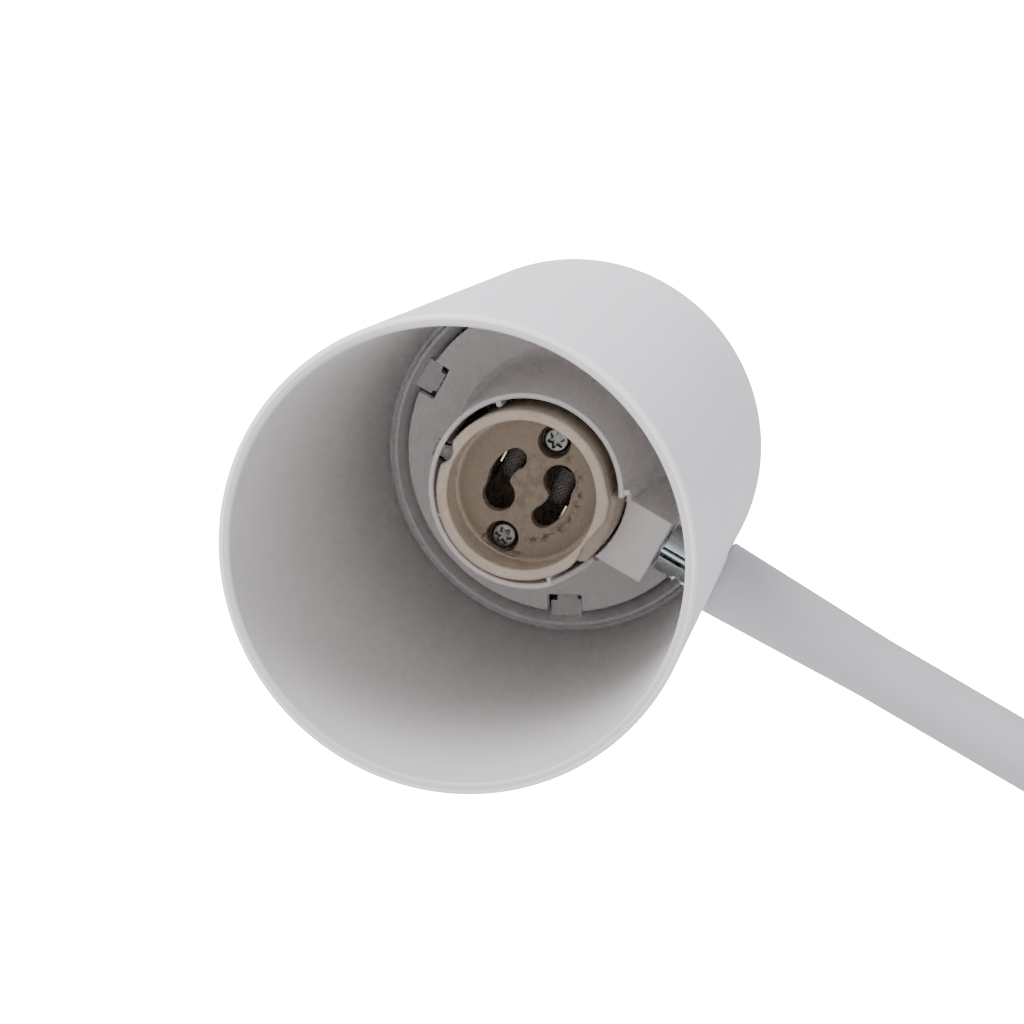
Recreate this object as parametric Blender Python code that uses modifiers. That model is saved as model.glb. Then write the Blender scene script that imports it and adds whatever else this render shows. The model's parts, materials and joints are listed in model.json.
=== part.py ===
"""Swing arm desk lamp with a turning, tilting spot head.

Frame: metres, +Z up, origin on the desk under the middle of the base. Both arms lie in the XZ plane.
Every moving link has an empty on its joint, and its pieces hang from that empty:
  swivel_axis   vertical line through the base, carries the turret
  shoulder_axis hinge at the foot of the lower arm; its Z runs up the lower arm
  elbow_axis    hinge between the arms; its Z runs along the upper arm, towards the head
  wrist_axis    the upper arm's own line at the head; its X is the way the shade's mouth looks
  head_axis     tilt hinge of the head; its X runs back along the arm and its Z out of the mouth
  shade_frame   centre of the shade's rim, in the head: Z out of the mouth, X towards the arm
"""

import math

import bmesh
import bpy
from mathutils import Euler, Matrix, Vector

# ---------------------------------------------------------------- clearances
TOUCH = 0.0003            # gap kept between faces that touch on the real lamp
RUNNING = 0.0004          # radial gap round a shaft or a screw

# ---------------------------------------------------------------- pose at rest
LOWER_ARM_LEAN = math.radians(25)      # lower arm from the vertical, towards +X
UPPER_ARM_RISE = math.radians(30.7)    # upper arm above the horizontal, towards -X
HEAD_TURN = math.radians(24.3)         # mouth below sideways, turned about the upper arm

# ---------------------------------------------------------------- base
BASE_RADIUS = 0.075
BASE_HEIGHT = 0.017
COVER_WALL = 0.0015
COVER_EDGE = 0.004        # outer rounding of the cover's top edge
COVER_LIFT = 0.001        # cover's hem above the desk
PAD_THICKNESS = 0.002
SWIVEL_STEM = 0.0047      # radius of the turret's threaded stem
SWIVEL_NUT = 0.0085
SWIVEL_NUT_HEIGHT = 0.004
WASHER_HEIGHT = 0.0008
TURRET_FLANGE = 0.010
TURRET_FLANGE_HEIGHT = 0.004
TURRET_EDGE = 0.0008
SHOULDER_HEIGHT = 0.040   # lower arm's hinge above the desk
GLAND_RADIUS = 0.0042
GLAND_BORE = 0.0026
GLAND_LIP = 0.0054
GLAND_LIP_HEIGHT = 0.0015
GLAND_HEIGHT = COVER_LIFT + GLAND_LIP + 0.0008    # middle of the cord's bush above the desk
CABLE_WALL = 0.004        # iron left between the cable way and the swivel's well

# ---------------------------------------------------------------- arms
LOWER_ARM = 0.230         # hinge to hinge
UPPER_ARM = 0.230
TUBE_RADIUS = 0.005
TUBE_FLARE = 0.006        # radius at a tube's mouth
FLARE_LENGTH = 0.029
TUBE_WALL = 0.0008
BUSH_LENGTH = 0.010
BUSH_INSET = 0.0015       # bush below the tube's mouth
STEM_RADIUS = 0.0029
STEM_LENGTH = 0.0135      # of the stem inside a tube
FLARE_TAPER = (TUBE_FLARE - TUBE_RADIUS) / FLARE_LENGTH
FLEX_RADIUS = 0.0023
FLEX_GAP = 0.002          # between the flex in a tube and the hinge stem

# ---------------------------------------------------------------- arm hinges (shoulder, elbow)
ARM_HINGE = {
    "bar": 0.005,          # radius of the round fork
    "slot": 0.0026,
    "blade": 0.0020,
    "blade_end": 0.0042,   # blade's round end
    "fork_end": 0.0053,    # fork's round end
    "slot_depth": 0.0052,
    "neck": 0.0064,        # pivot to the blade's shoulder
    "reach": 0.009,        # pivot to the tube's mouth
    "screw": 0.0019,
    "screw_head": 0.0031,
    "seat": 0.0034,        # cheek's face under the screw head, from the middle
}

# ---------------------------------------------------------------- head hinge
HEAD_HINGE = {
    "bar": 0.004,
    "slot": 0.0017,
    "blade": 0.0010,
    "blade_end": 0.0036,
    "fork_end": 0.0041,
    "slot_depth": 0.0044,
    "neck": 0.0042,
    "reach": 0.0050,
    "screw": 0.0015,
    "screw_head": 0.0025,
    "seat": 0.0027,
}
PIVOT_OFFSET = 0.0265     # head hinge from the shade's axis
PIVOT_DEPTH = 0.0634      # head hinge behind the rim
STUD_RADIUS = 0.0025
STUD_GAP = 0.0008         # stud's end to the box's inner wall
STUD_NUT = 0.0040
STUD_NUT_HEIGHT = 0.0027
WRIST_NUT = 0.0039
WRIST_NUT_HEIGHT = 0.0022

# ---------------------------------------------------------------- shade
SHADE_LENGTH = 0.096
RIM_RADIUS = 0.0358
BACK_RADIUS = 0.0299      # where the straight side would meet the back
SHADE_WALL = 0.00187
RIM_EDGE = 0.0005
BACK_EDGE = 0.004
LEDGE_DEPTH = 0.0805      # inner step behind the carrier's plate
LEDGE_RADIUS = 0.0269
SLOT_WIDTH = 0.0130       # opening for the arm
SLOT_FRONT = 0.0564
SLOT_BACK = 0.0910
CATCH_LENGTH = 0.0015     # of a catch behind the carrier's plate
CATCH_FRONT = 0.0006      # catch's face below the plate's face
INSERT_FRONT = 0.0742     # stop that fills the slot's back part
STOP_SUNK = 0.0001        # stop's face below the shade's
STOP_INNER = 0.0006       # stop's inner face outside the ledge

# ---------------------------------------------------------------- carrier and lampholder
PLATE_DEPTH = 0.0790
PLATE_RADIUS = 0.0257
PLATE_THICKNESS = 0.0020
NOTCH_WIDTH = 0.0056
NOTCH_DEPTH = 0.0028
TAB_WIDTH = 0.0042
TAB_ANGLES = (math.radians(180), math.radians(-60), math.radians(60))
HOLDER_RADIUS = 0.0135
COLLAR_FRONT = 0.0495
COLLAR_GAP = 0.0011       # between the lampholder and the collar
COLLAR_WALL = 0.0009
COLLAR_TAPER = 0.0011     # how much the collar widens to its foot
COLLAR_BORE = HOLDER_RADIUS + COLLAR_GAP
COLLAR_RADIUS = COLLAR_BORE + COLLAR_WALL
COLLAR_FOOT = COLLAR_RADIUS + COLLAR_TAPER
BOX_FRONT = 0.0565
BOX_END = 0.0220
BOX_WIDTH = 0.0110
BOX_WALL = 0.0012
BOX_INNER = COLLAR_BORE + 0.0003       # box face over the lampholder
BAR_DEPTH = 0.0712        # cross bar behind the lampholder
BAR_WIDTH = 0.0042
BAR_THICKNESS = 0.0024
HOLDER_FRONT = 0.0462
HOLDER_LENGTH = 0.0220
HOLDER_EDGE = 0.0006
CUP_WALL = 0.00174
CUP_RADIUS = HOLDER_RADIUS - CUP_WALL
CUP_DEPTH = 0.0060
PIN_CIRCLE = 0.0050       # radius that the two pins stand on
PIN_HEAD = 0.00255        # keyhole's wide end
PIN_NECK = 0.00170        # keyhole's narrow end
PIN_TURN = math.radians(80)
KEYHOLE_START = math.radians(-137)
CHAMBER_WIDTH = 0.0050
CHAMBER_LENGTH = 0.0120
CHAMBER_ROOF = 0.0016     # ceramic left under the cup's floor
CHAMBER_OFFSET = 0.0047
WELL_INSET = {-1: 0.00006, 1: 0.00066}           # screw wells from the cup's wall, by side
HOLDER_SCREW_HEAD = 0.0021
HOLDER_SCREW_HEIGHT = 0.0016
HOLDER_SCREW = 0.0012
HOLDER_SCREW_WELL = 0.0026
HOLDER_SCREW_REACH = {side: CUP_RADIUS - HOLDER_SCREW_WELL - inset for side, inset in WELL_INSET.items()}
HOLDER_WELL_DEPTH = 0.0035
REAR_THICKNESS = 0.0022
SLEEVE_RADIUS = 0.0017
CONTACT_THICKNESS = 0.0006
CONTACT_HALF = 0.004      # half the contact's width
WIRE_BEND = 0.0024
WIRE_TAIL = 0.004         # of a wire behind the carrier's plate
CLAMP_SIZE = (0.0030, 0.0032, 0.0022)
CLAMP_GAP = 0.003         # clamp behind the head hinge's fork

PAINT = ((0.86, 0.86, 0.87), 0.45, 0.0)
PLASTIC = ((0.80, 0.80, 0.80), 0.5, 0.0)
ZINC = ((0.62, 0.65, 0.66), 0.3, 1.0)
STEATITE = ((0.62, 0.53, 0.42), 0.6, 0.0)
IRON = ((0.12, 0.12, 0.12), 0.7, 0.6)
RUBBER = ((0.03, 0.03, 0.03), 0.8, 0.0)
NYLON = ((0.75, 0.74, 0.70), 0.5, 0.0)
BRAID = ((0.10, 0.09, 0.09), 0.9, 0.0)
BRONZE = ((0.75, 0.65, 0.45), 0.3, 1.0)

for stale in list(bpy.data.objects):
    bpy.data.objects.remove(stale)

LAMP = bpy.data.collections.new("swing_arm_desk_lamp")
CUTTERS = bpy.data.collections.new("cutters")
bpy.context.scene.collection.children.link(LAMP)
bpy.context.scene.collection.children.link(CUTTERS)


# ---------------------------------------------------------------- helpers
def finish_of(name, look):
    """Principled material of one colour, roughness and metallic value."""
    colour, roughness, metallic = look
    material = bpy.data.materials.new(name)
    material.use_nodes = True
    shader = material.node_tree.nodes["Principled BSDF"]
    shader.inputs["Base Color"].default_value = (*colour, 1.0)
    shader.inputs["Roughness"].default_value = roughness
    shader.inputs["Metallic"].default_value = metallic
    return material


def axis_empty(name, parent=None, location=(0, 0, 0), turn=(0, 0, 0)):
    """Empty that marks a joint or a frame; turn is an XYZ Euler rotation."""
    empty = bpy.data.objects.new(name, None)
    empty.empty_display_size = 0.02
    empty.location = location
    empty.rotation_euler = turn
    empty.parent = parent
    LAMP.objects.link(empty)
    return empty


def add(name, mesh, look, parent, location=(0, 0, 0), turn=(0, 0, 0)):
    """Object in the lamp, or in the cutters where look is None."""
    obj = bpy.data.objects.new(name, mesh)
    obj.location = location
    obj.rotation_euler = turn
    obj.parent = parent
    if look is None:
        CUTTERS.objects.link(obj)
        obj.hide_render = True
        obj.display_type = "WIRE"
    else:
        LAMP.objects.link(obj)
        mesh.materials.append(finish_of(name, look))
    return obj


def block(name, size, look, parent, location=(0, 0, 0), turn=(0, 0, 0)):
    """Box of the given size, centred on its own origin."""
    bm = bmesh.new()
    bmesh.ops.create_cube(bm, size=1.0)
    bmesh.ops.scale(bm, vec=size, verts=bm.verts)
    mesh = bpy.data.meshes.new(name)
    bm.to_mesh(mesh)
    bm.free()
    return add(name, mesh, look, parent, location, turn)


def span(name, low, high, look, parent, location=(0, 0, 0), turn=(0, 0, 0)):
    """Box from one corner to the other, in the parent's axes."""
    size = [b - a for a, b in zip(low, high)]
    middle = [(a + b) / 2 for a, b in zip(low, high)]
    obj = block(name, size, look, parent, location, turn)
    obj.data.transform(Matrix.Translation(middle))
    return obj


def rod(name, radius, low, high, look, parent, location=(0, 0, 0), turn=(0, 0, 0), sides=24):
    """Round rod along its own Z, from low to high."""
    bm = bmesh.new()
    lift = Matrix.Translation((0, 0, (low + high) / 2))
    bmesh.ops.create_cone(bm, cap_ends=True, segments=sides, radius1=radius, radius2=radius,
                          depth=high - low, matrix=lift)
    mesh = bpy.data.meshes.new(name)
    bm.to_mesh(mesh)
    bm.free()
    smooth(mesh)
    return add(name, mesh, look, parent, location, turn)


def smooth(mesh):
    """Round faces shade smooth, corners stay sharp."""
    mesh.shade_smooth()
    mesh.set_sharp_from_angle(angle=math.radians(35))


def turned(name, profile, look, parent, location=(0, 0, 0), turn=(0, 0, 0), steps=24, ring=False):
    """Solid turned about its own Z. The profile of (radius, z) runs down the outer side.

    A ring's profile goes on up the inner side, and its last point joins its first.
    """
    mesh = bpy.data.meshes.new(name)
    points = [(r, 0.0, z) for r, z in profile]
    edges = [(i, i + 1) for i in range(len(points) - 1)]
    if ring:
        edges.append((len(points) - 1, 0))
    mesh.from_pydata(points, edges, [])
    obj = add(name, mesh, look, parent, location, turn)
    screw = obj.modifiers.new("turn", "SCREW")
    screw.steps = steps
    screw.render_steps = steps
    screw.use_merge_vertices = True
    screw.merge_threshold = 0.00002
    screw.use_smooth_shade = True
    return obj


def arc(centre, radius, start, end, count):
    """Points (radius, z) on a circular arc between two angles in degrees."""
    points = []
    for i in range(count + 1):
        angle = math.radians(start + (end - start) * i / count)
        points.append((centre[0] + radius * math.cos(angle), centre[1] + radius * math.sin(angle)))
    return points


def outline(name, points, thickness, look, parent, location=(0, 0, 0), turn=(0, 0, 0)):
    """Flat plate: a closed outline of (x, y), given thickness along its own Z, as a mesh."""
    curve = bpy.data.curves.new(name, "CURVE")
    curve.dimensions = "2D"
    curve.fill_mode = "BOTH"
    curve.extrude = thickness / 2
    spline = curve.splines.new("POLY")
    spline.points.add(len(points) - 1)
    for point, (x, y) in zip(spline.points, points):
        point.co = (x, y, 0, 1)
    spline.use_cyclic_u = True
    return solid_of(name, curve, look, parent, location, turn)


def wire(name, points, radius, look, parent, sides=2):
    """Round wire through the points, with closed ends, as a mesh."""
    curve = bpy.data.curves.new(name, "CURVE")
    curve.dimensions = "3D"
    curve.bevel_depth = radius
    curve.bevel_resolution = sides
    curve.use_fill_caps = True
    spline = curve.splines.new("POLY")
    spline.points.add(len(points) - 1)
    for point, place in zip(spline.points, points):
        point.co = (*place, 1)
    return solid_of(name, curve, look, parent)


def solid_of(name, curve, look, parent, location=(0, 0, 0), turn=(0, 0, 0)):
    """Mesh object of a curve's surface, with its caps welded on."""
    guide = bpy.data.objects.new(name + "_guide", curve)
    bpy.context.scene.collection.objects.link(guide)
    depsgraph = bpy.context.evaluated_depsgraph_get()
    mesh = bpy.data.meshes.new_from_object(guide.evaluated_get(depsgraph))
    bpy.data.objects.remove(guide)
    bm = bmesh.new()
    bm.from_mesh(mesh)
    bmesh.ops.remove_doubles(bm, verts=bm.verts, dist=1e-6)
    bmesh.ops.recalc_face_normals(bm, faces=bm.faces)
    bm.to_mesh(mesh)
    bm.free()
    mesh.materials.clear()
    smooth(mesh)
    return add(name, mesh, look, parent, location, turn)


def shape(target, tool, operation="DIFFERENCE"):
    """Exact Boolean of target with tool, which becomes a hidden cutter."""
    boolean = target.modifiers.new(tool.name, "BOOLEAN")
    boolean.operation = operation
    boolean.object = tool
    boolean.solver = "EXACT"
    return target


def polar(radius, angle, z=0.0):
    """Point at a radius and an angle about Z."""
    return Vector((radius * math.cos(angle), radius * math.sin(angle), z))


# ---------------------------------------------------------------- frames
ELBOW_BEND = -(math.pi / 2 - UPPER_ARM_RISE) - LOWER_ARM_LEAN
WRIST_TURN = -(math.pi / 2 + HEAD_TURN)
HEAD_SQUARE = math.pi / 2              # the shade stands square to the arm

swivel_axis = axis_empty("swivel_axis")
shoulder_axis = axis_empty("shoulder_axis", swivel_axis, (0, 0, SHOULDER_HEIGHT), (0, LOWER_ARM_LEAN, 0))
elbow_axis = axis_empty("elbow_axis", shoulder_axis, (0, 0, LOWER_ARM), (0, ELBOW_BEND, 0))
wrist_axis = axis_empty("wrist_axis", elbow_axis, (0, 0, UPPER_ARM), (0, 0, WRIST_TURN))
head_axis = axis_empty("head_axis", wrist_axis, (0, 0, 0), (0, HEAD_SQUARE, 0))
shade_frame = axis_empty("shade_frame", head_axis, (-PIVOT_OFFSET, 0, PIVOT_DEPTH))


# ---------------------------------------------------------------- hinge pieces
def fork(name, hinge, stem_profile, parent, location=(0, 0, 0), square=False):
    """Round bar with a slotted, rounded end about the pivot; its stem points down Z.

    stem_profile lists the (radius, z) points below the bar's slot, from the top down. A square fork
    keeps its end's corner on the +X side, which a hinge that tilts one way leaves free.
    """
    bar, end = hinge["bar"], hinge["fork_end"]
    spare = 0.001
    body = turned(name, [(0, end + spare), (bar, end + spare), *stem_profile], ZINC, parent, location)
    low = stem_profile[-1][1] - spare
    upright = (math.pi / 2, 0, 0)
    crown = [(end, end), *arc((0, 0), end, 90, 180, 7)] if square else arc((0, 0), end, 0, 180, 14)
    keep = outline(name + "_round", [(end, low), *crown, (-end, low)], 4 * bar, None, parent, location,
                   upright)
    reach = 4 * bar
    below = -hinge["slot_depth"]
    under = low - spare
    foot = outline(name + "_foot", [(reach, under), (reach, below), (-reach, below), (-reach, under)],
                   8 * bar, None, parent, location, upright)
    shape(keep, foot, "UNION")
    shape(body, keep, "INTERSECT")
    slot = span(name + "_slot", (-2 * bar, -hinge["slot"] / 2, -hinge["slot_depth"]),
                (2 * bar, hinge["slot"] / 2, 2 * bar), None, parent, location)
    shape(body, slot)
    bore = rod(name + "_bore", hinge["screw"] + RUNNING, -2 * bar, 2 * bar, None, parent, location,
               (math.pi / 2, 0, 0))
    shape(body, bore)
    for side in (-1, 1):
        seat = rod("%s_seat_%d" % (name, side), hinge["screw_head"] + RUNNING, hinge["seat"], 2 * bar,
                   None, parent, location, (-side * math.pi / 2, 0, 0))
        shape(body, seat)
    return body


def blade(name, hinge, shoulder_profile, parent, location=(0, 0, 0), turn=(0, 0, 0)):
    """Flat eye about the pivot on a round shoulder and stem that point up Z.

    shoulder_profile lists the (radius, z) points from the stem's top down to the shoulder's foot.
    """
    half = hinge["blade_end"]
    top = hinge["neck"] + TOUCH
    eye = outline(name, [(half, top), (-half, top), *arc((0, 0), half, 180, 360, 14)],
                  hinge["blade"], ZINC, parent, location, turn)
    eye.data.transform(Matrix.Rotation(math.pi / 2, 4, "X"))
    stem = turned(name + "_stem", shoulder_profile, None, parent, location, turn)
    shape(eye, stem, "UNION")
    bore_turn = (Euler(turn).to_matrix() @ Matrix.Rotation(math.pi / 2, 3, "X")).to_euler()
    bore = rod(name + "_bore", hinge["screw"] + RUNNING, -hinge["bar"], hinge["bar"], None, parent,
               location, bore_turn)
    shape(eye, bore)
    return eye


def pivot_screw(name, hinge, parent, location=(0, 0, 0)):
    """Cheese head screw along the pivot, its head on the -Y cheek."""
    head_top = hinge["bar"] - TOUCH
    seat = hinge["seat"] + TOUCH
    shaft = hinge["screw"]
    head = hinge["screw_head"]
    profile = [(0, head_top), (head, head_top), (head, seat),
               (shaft, seat), (shaft, -head_top), (0, -head_top)]
    body = turned(name, profile, ZINC, parent, location, (math.pi / 2, 0, 0))
    drive = span(name + "_drive", (-2 * head, -0.0004, head_top - 0.0007), (2 * head, 0.0004, 2 * head_top),
                 None, parent, location, (math.pi / 2, 0, 0))
    shape(body, drive)
    return body


def pivot_nut(name, hinge, parent, location=(0, 0, 0)):
    """Hexagon nut on the +Y cheek."""
    low, high = hinge["seat"] + TOUCH, hinge["bar"] - TOUCH
    nut = rod(name, hinge["screw_head"], low, high, ZINC, parent, location, (-math.pi / 2, 0, 0), sides=6)
    bore = rod(name + "_bore", hinge["screw"] + TOUCH, low - 0.001, high + 0.001, None, parent, location,
               (-math.pi / 2, 0, 0))
    return shape(nut, bore)


def arm_bush(name, parent, mouth, inward):
    """Ring in a tube's mouth that holds a hinge stem. inward is +1 or -1 along the tube."""
    top = mouth + inward * BUSH_INSET
    end = top + inward * BUSH_LENGTH
    low, high = min(top, end), max(top, end)
    outer = TUBE_FLARE - TUBE_WALL - FLARE_TAPER * (BUSH_INSET + BUSH_LENGTH) - TOUCH
    bore = STEM_RADIUS + RUNNING
    return turned(name, [(outer, high), (outer, low), (bore, low), (bore, high)], NYLON, parent,
                  ring=True)


def arm_tube(name, start, end, parent):
    """Tube along Z whose two mouths flare out over FLARE_LENGTH."""
    wall = TUBE_WALL
    outer = [(TUBE_FLARE, end), (TUBE_RADIUS, end - FLARE_LENGTH), (TUBE_RADIUS, start + FLARE_LENGTH),
             (TUBE_FLARE, start)]
    inner = [(r - wall, z) for r, z in reversed(outer)]
    return turned(name, outer + inner, PAINT, parent, ring=True)


def stem_into_tube(hinge):
    """Fork's profile under its slot: bar to the tube's mouth, then the stem in the bush."""
    mouth = -hinge["reach"] + TOUCH
    return [(hinge["bar"], mouth), (STEM_RADIUS, mouth), (STEM_RADIUS, mouth - STEM_LENGTH),
            (0, mouth - STEM_LENGTH)]


def blade_into_tube(hinge):
    """Blade's profile: stem in the bush, then a round shoulder down to the neck."""
    mouth = hinge["reach"] - TOUCH
    return [(0, mouth + STEM_LENGTH), (STEM_RADIUS, mouth + STEM_LENGTH), (STEM_RADIUS, mouth),
            (hinge["bar"], mouth), (hinge["bar"], hinge["neck"]), (0, hinge["neck"])]


# ---------------------------------------------------------------- base
def build_base():
    """Foam pad, iron weight, painted cover and the bush for the cord."""
    pad_radius = BASE_RADIUS - COVER_WALL - TOUCH
    turned("base_pad", [(0, PAD_THICKNESS), (pad_radius, PAD_THICKNESS), (pad_radius, 0), (0, 0)],
           RUBBER, None, steps=60)

    low = PAD_THICKNESS + TOUCH
    high = BASE_HEIGHT - COVER_WALL - TOUCH
    bore = SWIVEL_STEM + RUNNING
    well = SWIVEL_NUT + RUNNING
    well_top = low + SWIVEL_NUT_HEIGHT + WASHER_HEIGHT + 3 * TOUCH
    weight_radius = pad_radius - COVER_EDGE
    weight = turned("base_weight", [(weight_radius, high), (weight_radius, low), (well, low),
                                    (well, well_top), (bore, well_top), (bore, high)],
                    IRON, None, steps=40, ring=True)
    cable_way = span("cable_way", (-BASE_RADIUS, -GLAND_RADIUS, low - 0.001),
                     (-well - CABLE_WALL, GLAND_RADIUS, GLAND_HEIGHT + GLAND_RADIUS + TOUCH), None, None)
    shape(weight, cable_way)

    inner = BASE_RADIUS - COVER_WALL
    round_centre = (BASE_RADIUS - COVER_EDGE, BASE_HEIGHT - COVER_EDGE)
    outside = [(bore, BASE_HEIGHT), *reversed(arc(round_centre, COVER_EDGE, 0, 90, 4)),
               (BASE_RADIUS, COVER_LIFT), (inner, COVER_LIFT)]
    inside = [*arc(round_centre, COVER_EDGE - COVER_WALL, 0, 90, 4), (bore, BASE_HEIGHT - COVER_WALL)]
    cover = turned("base_cover", outside + inside, PAINT, None, steps=60, ring=True)
    hole = rod("gland_hole", GLAND_RADIUS + TOUCH, BASE_RADIUS - 4 * COVER_WALL, BASE_RADIUS + COVER_WALL,
               None, None, (0, 0, GLAND_HEIGHT), (0, -math.pi / 2, 0), sides=20)
    shape(cover, hole)

    lip_low = BASE_RADIUS + TOUCH
    inside_end = inner - 2 * COVER_WALL
    turned("cord_gland", [(GLAND_LIP * 0.8, lip_low + GLAND_LIP_HEIGHT), (GLAND_LIP, lip_low),
                          (GLAND_RADIUS, lip_low), (GLAND_RADIUS, inside_end),
                          (GLAND_BORE, inside_end), (GLAND_BORE, lip_low + GLAND_LIP_HEIGHT)],
           RUBBER, None, (0, 0, GLAND_HEIGHT), (0, -math.pi / 2, 0), steps=20, ring=True)


def build_turret():
    """Fork that turns in the base, with the washers and the nut that hold it down."""
    washer_low = BASE_HEIGHT + TOUCH
    flange_low = washer_low + WASHER_HEIGHT + TOUCH
    flange_top = flange_low + TURRET_FLANGE_HEIGHT
    stem_low = PAD_THICKNESS + 3 * TOUCH
    bore = SWIVEL_STEM + RUNNING
    turned("swivel_washer", [(TURRET_FLANGE, washer_low + WASHER_HEIGHT), (TURRET_FLANGE, washer_low),
                             (bore, washer_low), (bore, washer_low + WASHER_HEIGHT)],
           NYLON, swivel_axis, ring=True)
    edge = TURRET_EDGE
    down = -SHOULDER_HEIGHT
    profile = [(ARM_HINGE["bar"], down + flange_top), (TURRET_FLANGE - edge, down + flange_top),
               (TURRET_FLANGE, down + flange_top - edge), (TURRET_FLANGE, down + flange_low),
               (SWIVEL_STEM, down + flange_low), (SWIVEL_STEM, down + stem_low), (0, down + stem_low)]
    fork("turret_fork", ARM_HINGE, profile, swivel_axis, (0, 0, SHOULDER_HEIGHT))
    nut_low = PAD_THICKNESS + 2 * TOUCH
    nut_top = nut_low + SWIVEL_NUT_HEIGHT
    nut = rod("swivel_nut", SWIVEL_NUT, nut_low, nut_top, ZINC, swivel_axis, sides=6)
    shape(nut, rod("swivel_nut_bore", SWIVEL_STEM + TOUCH, nut_low - 0.001, nut_top + 0.001, None,
                   swivel_axis))
    ring_low = nut_top + TOUCH
    turned("swivel_spring_washer", [(SWIVEL_NUT, ring_low + WASHER_HEIGHT), (SWIVEL_NUT, ring_low),
                                    (bore, ring_low), (bore, ring_low + WASHER_HEIGHT)],
           ZINC, swivel_axis, ring=True)


# ---------------------------------------------------------------- arms
def build_lower_arm():
    """Lower tube with the blade of the shoulder and the fork of the elbow."""
    start = ARM_HINGE["reach"]
    end = LOWER_ARM - ARM_HINGE["reach"]
    blade("shoulder_blade", ARM_HINGE, blade_into_tube(ARM_HINGE), shoulder_axis)
    arm_tube("lower_arm_tube", start, end, shoulder_axis)
    arm_bush("lower_arm_foot_bush", shoulder_axis, start, 1)
    arm_bush("lower_arm_top_bush", shoulder_axis, end, -1)
    fork("elbow_fork", ARM_HINGE, stem_into_tube(ARM_HINGE), shoulder_axis, (0, 0, LOWER_ARM))
    clear = STEM_LENGTH + FLEX_GAP
    rod("lower_arm_flex", FLEX_RADIUS, start + clear, end - clear, RUBBER, shoulder_axis, sides=12)


def build_upper_arm():
    """Upper tube with the blade of the elbow; the head's fork turns in its far bush."""
    start = ARM_HINGE["reach"]
    end = UPPER_ARM - HEAD_HINGE["reach"]
    blade("elbow_blade", ARM_HINGE, blade_into_tube(ARM_HINGE), elbow_axis)
    arm_tube("upper_arm_tube", start, end, elbow_axis)
    arm_bush("upper_arm_foot_bush", elbow_axis, start, 1)
    arm_bush("upper_arm_head_bush", elbow_axis, end, -1)
    clear = STEM_LENGTH + FLEX_GAP
    rod("upper_arm_flex", FLEX_RADIUS, start + clear, end - clear - WRIST_NUT_HEIGHT, RUBBER, elbow_axis,
        sides=12)


def build_wrist():
    """Fork that turns about the upper arm, with the nut that keeps it in its bush."""
    profile = stem_into_tube(HEAD_HINGE)
    bottom = profile[-1][1] - WRIST_NUT_HEIGHT
    profile = [*profile[:-2], (STEM_RADIUS, bottom), (0, bottom)]
    fork("head_fork", HEAD_HINGE, profile, wrist_axis, square=True)
    nut_top = -HEAD_HINGE["reach"] - BUSH_INSET - BUSH_LENGTH - TOUCH
    nut = rod("wrist_nut", WRIST_NUT, nut_top - WRIST_NUT_HEIGHT, nut_top, ZINC, wrist_axis, sides=6)
    shape(nut, rod("wrist_nut_bore", STEM_RADIUS + TOUCH / 2, nut_top - 2 * WRIST_NUT_HEIGHT,
                   nut_top + WRIST_NUT_HEIGHT, None, wrist_axis))


# ---------------------------------------------------------------- head
def shade_radius(depth):
    """Outer radius of the shade's straight side at a depth behind the rim."""
    return RIM_RADIUS + (BACK_RADIUS - RIM_RADIUS) * depth / SHADE_LENGTH


def build_shade():
    """Tapered shade with a rounded back, an inner ledge, three catches and the arm's slot."""
    edge_centre = (shade_radius(SHADE_LENGTH - BACK_EDGE) - BACK_EDGE, -SHADE_LENGTH + BACK_EDGE)
    rim_edge = RIM_EDGE
    outside = [(RIM_RADIUS - SHADE_WALL + rim_edge, 0), (RIM_RADIUS - rim_edge, 0), (RIM_RADIUS, -rim_edge),
               *reversed(arc(edge_centre, BACK_EDGE, -90, 0, 4)), (0, -SHADE_LENGTH)]
    back_inside = -SHADE_LENGTH + SHADE_WALL
    inside = [(0, back_inside), (LEDGE_RADIUS - 0.002, back_inside), (LEDGE_RADIUS, back_inside + 0.002),
              (LEDGE_RADIUS, -LEDGE_DEPTH), (shade_radius(LEDGE_DEPTH) - SHADE_WALL, -LEDGE_DEPTH),
              (RIM_RADIUS - SHADE_WALL, -rim_edge), (RIM_RADIUS - SHADE_WALL + rim_edge, 0)]
    shade = turned("shade", outside + inside[:-1], PAINT, shade_frame, steps=60, ring=True)
    for number, angle in enumerate(TAB_ANGLES):
        catch = span("catch_%d" % number, (PLATE_RADIUS - NOTCH_DEPTH + 2 * TOUCH, -TAB_WIDTH / 2,
                                           -PLATE_DEPTH - PLATE_THICKNESS - CATCH_LENGTH),
                     (LEDGE_RADIUS + 0.001, TAB_WIDTH / 2, -PLATE_DEPTH - CATCH_FRONT),
                     None, shade_frame, (0, 0, 0), (0, 0, angle))
        shape(shade, catch, "UNION")
    slot = span("arm_slot", (LEDGE_RADIUS - 0.004, -SLOT_WIDTH / 2, -SLOT_BACK),
                (RIM_RADIUS + 0.002, SLOT_WIDTH / 2, -SLOT_FRONT), None, shade_frame)
    shape(shade, slot)


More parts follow.
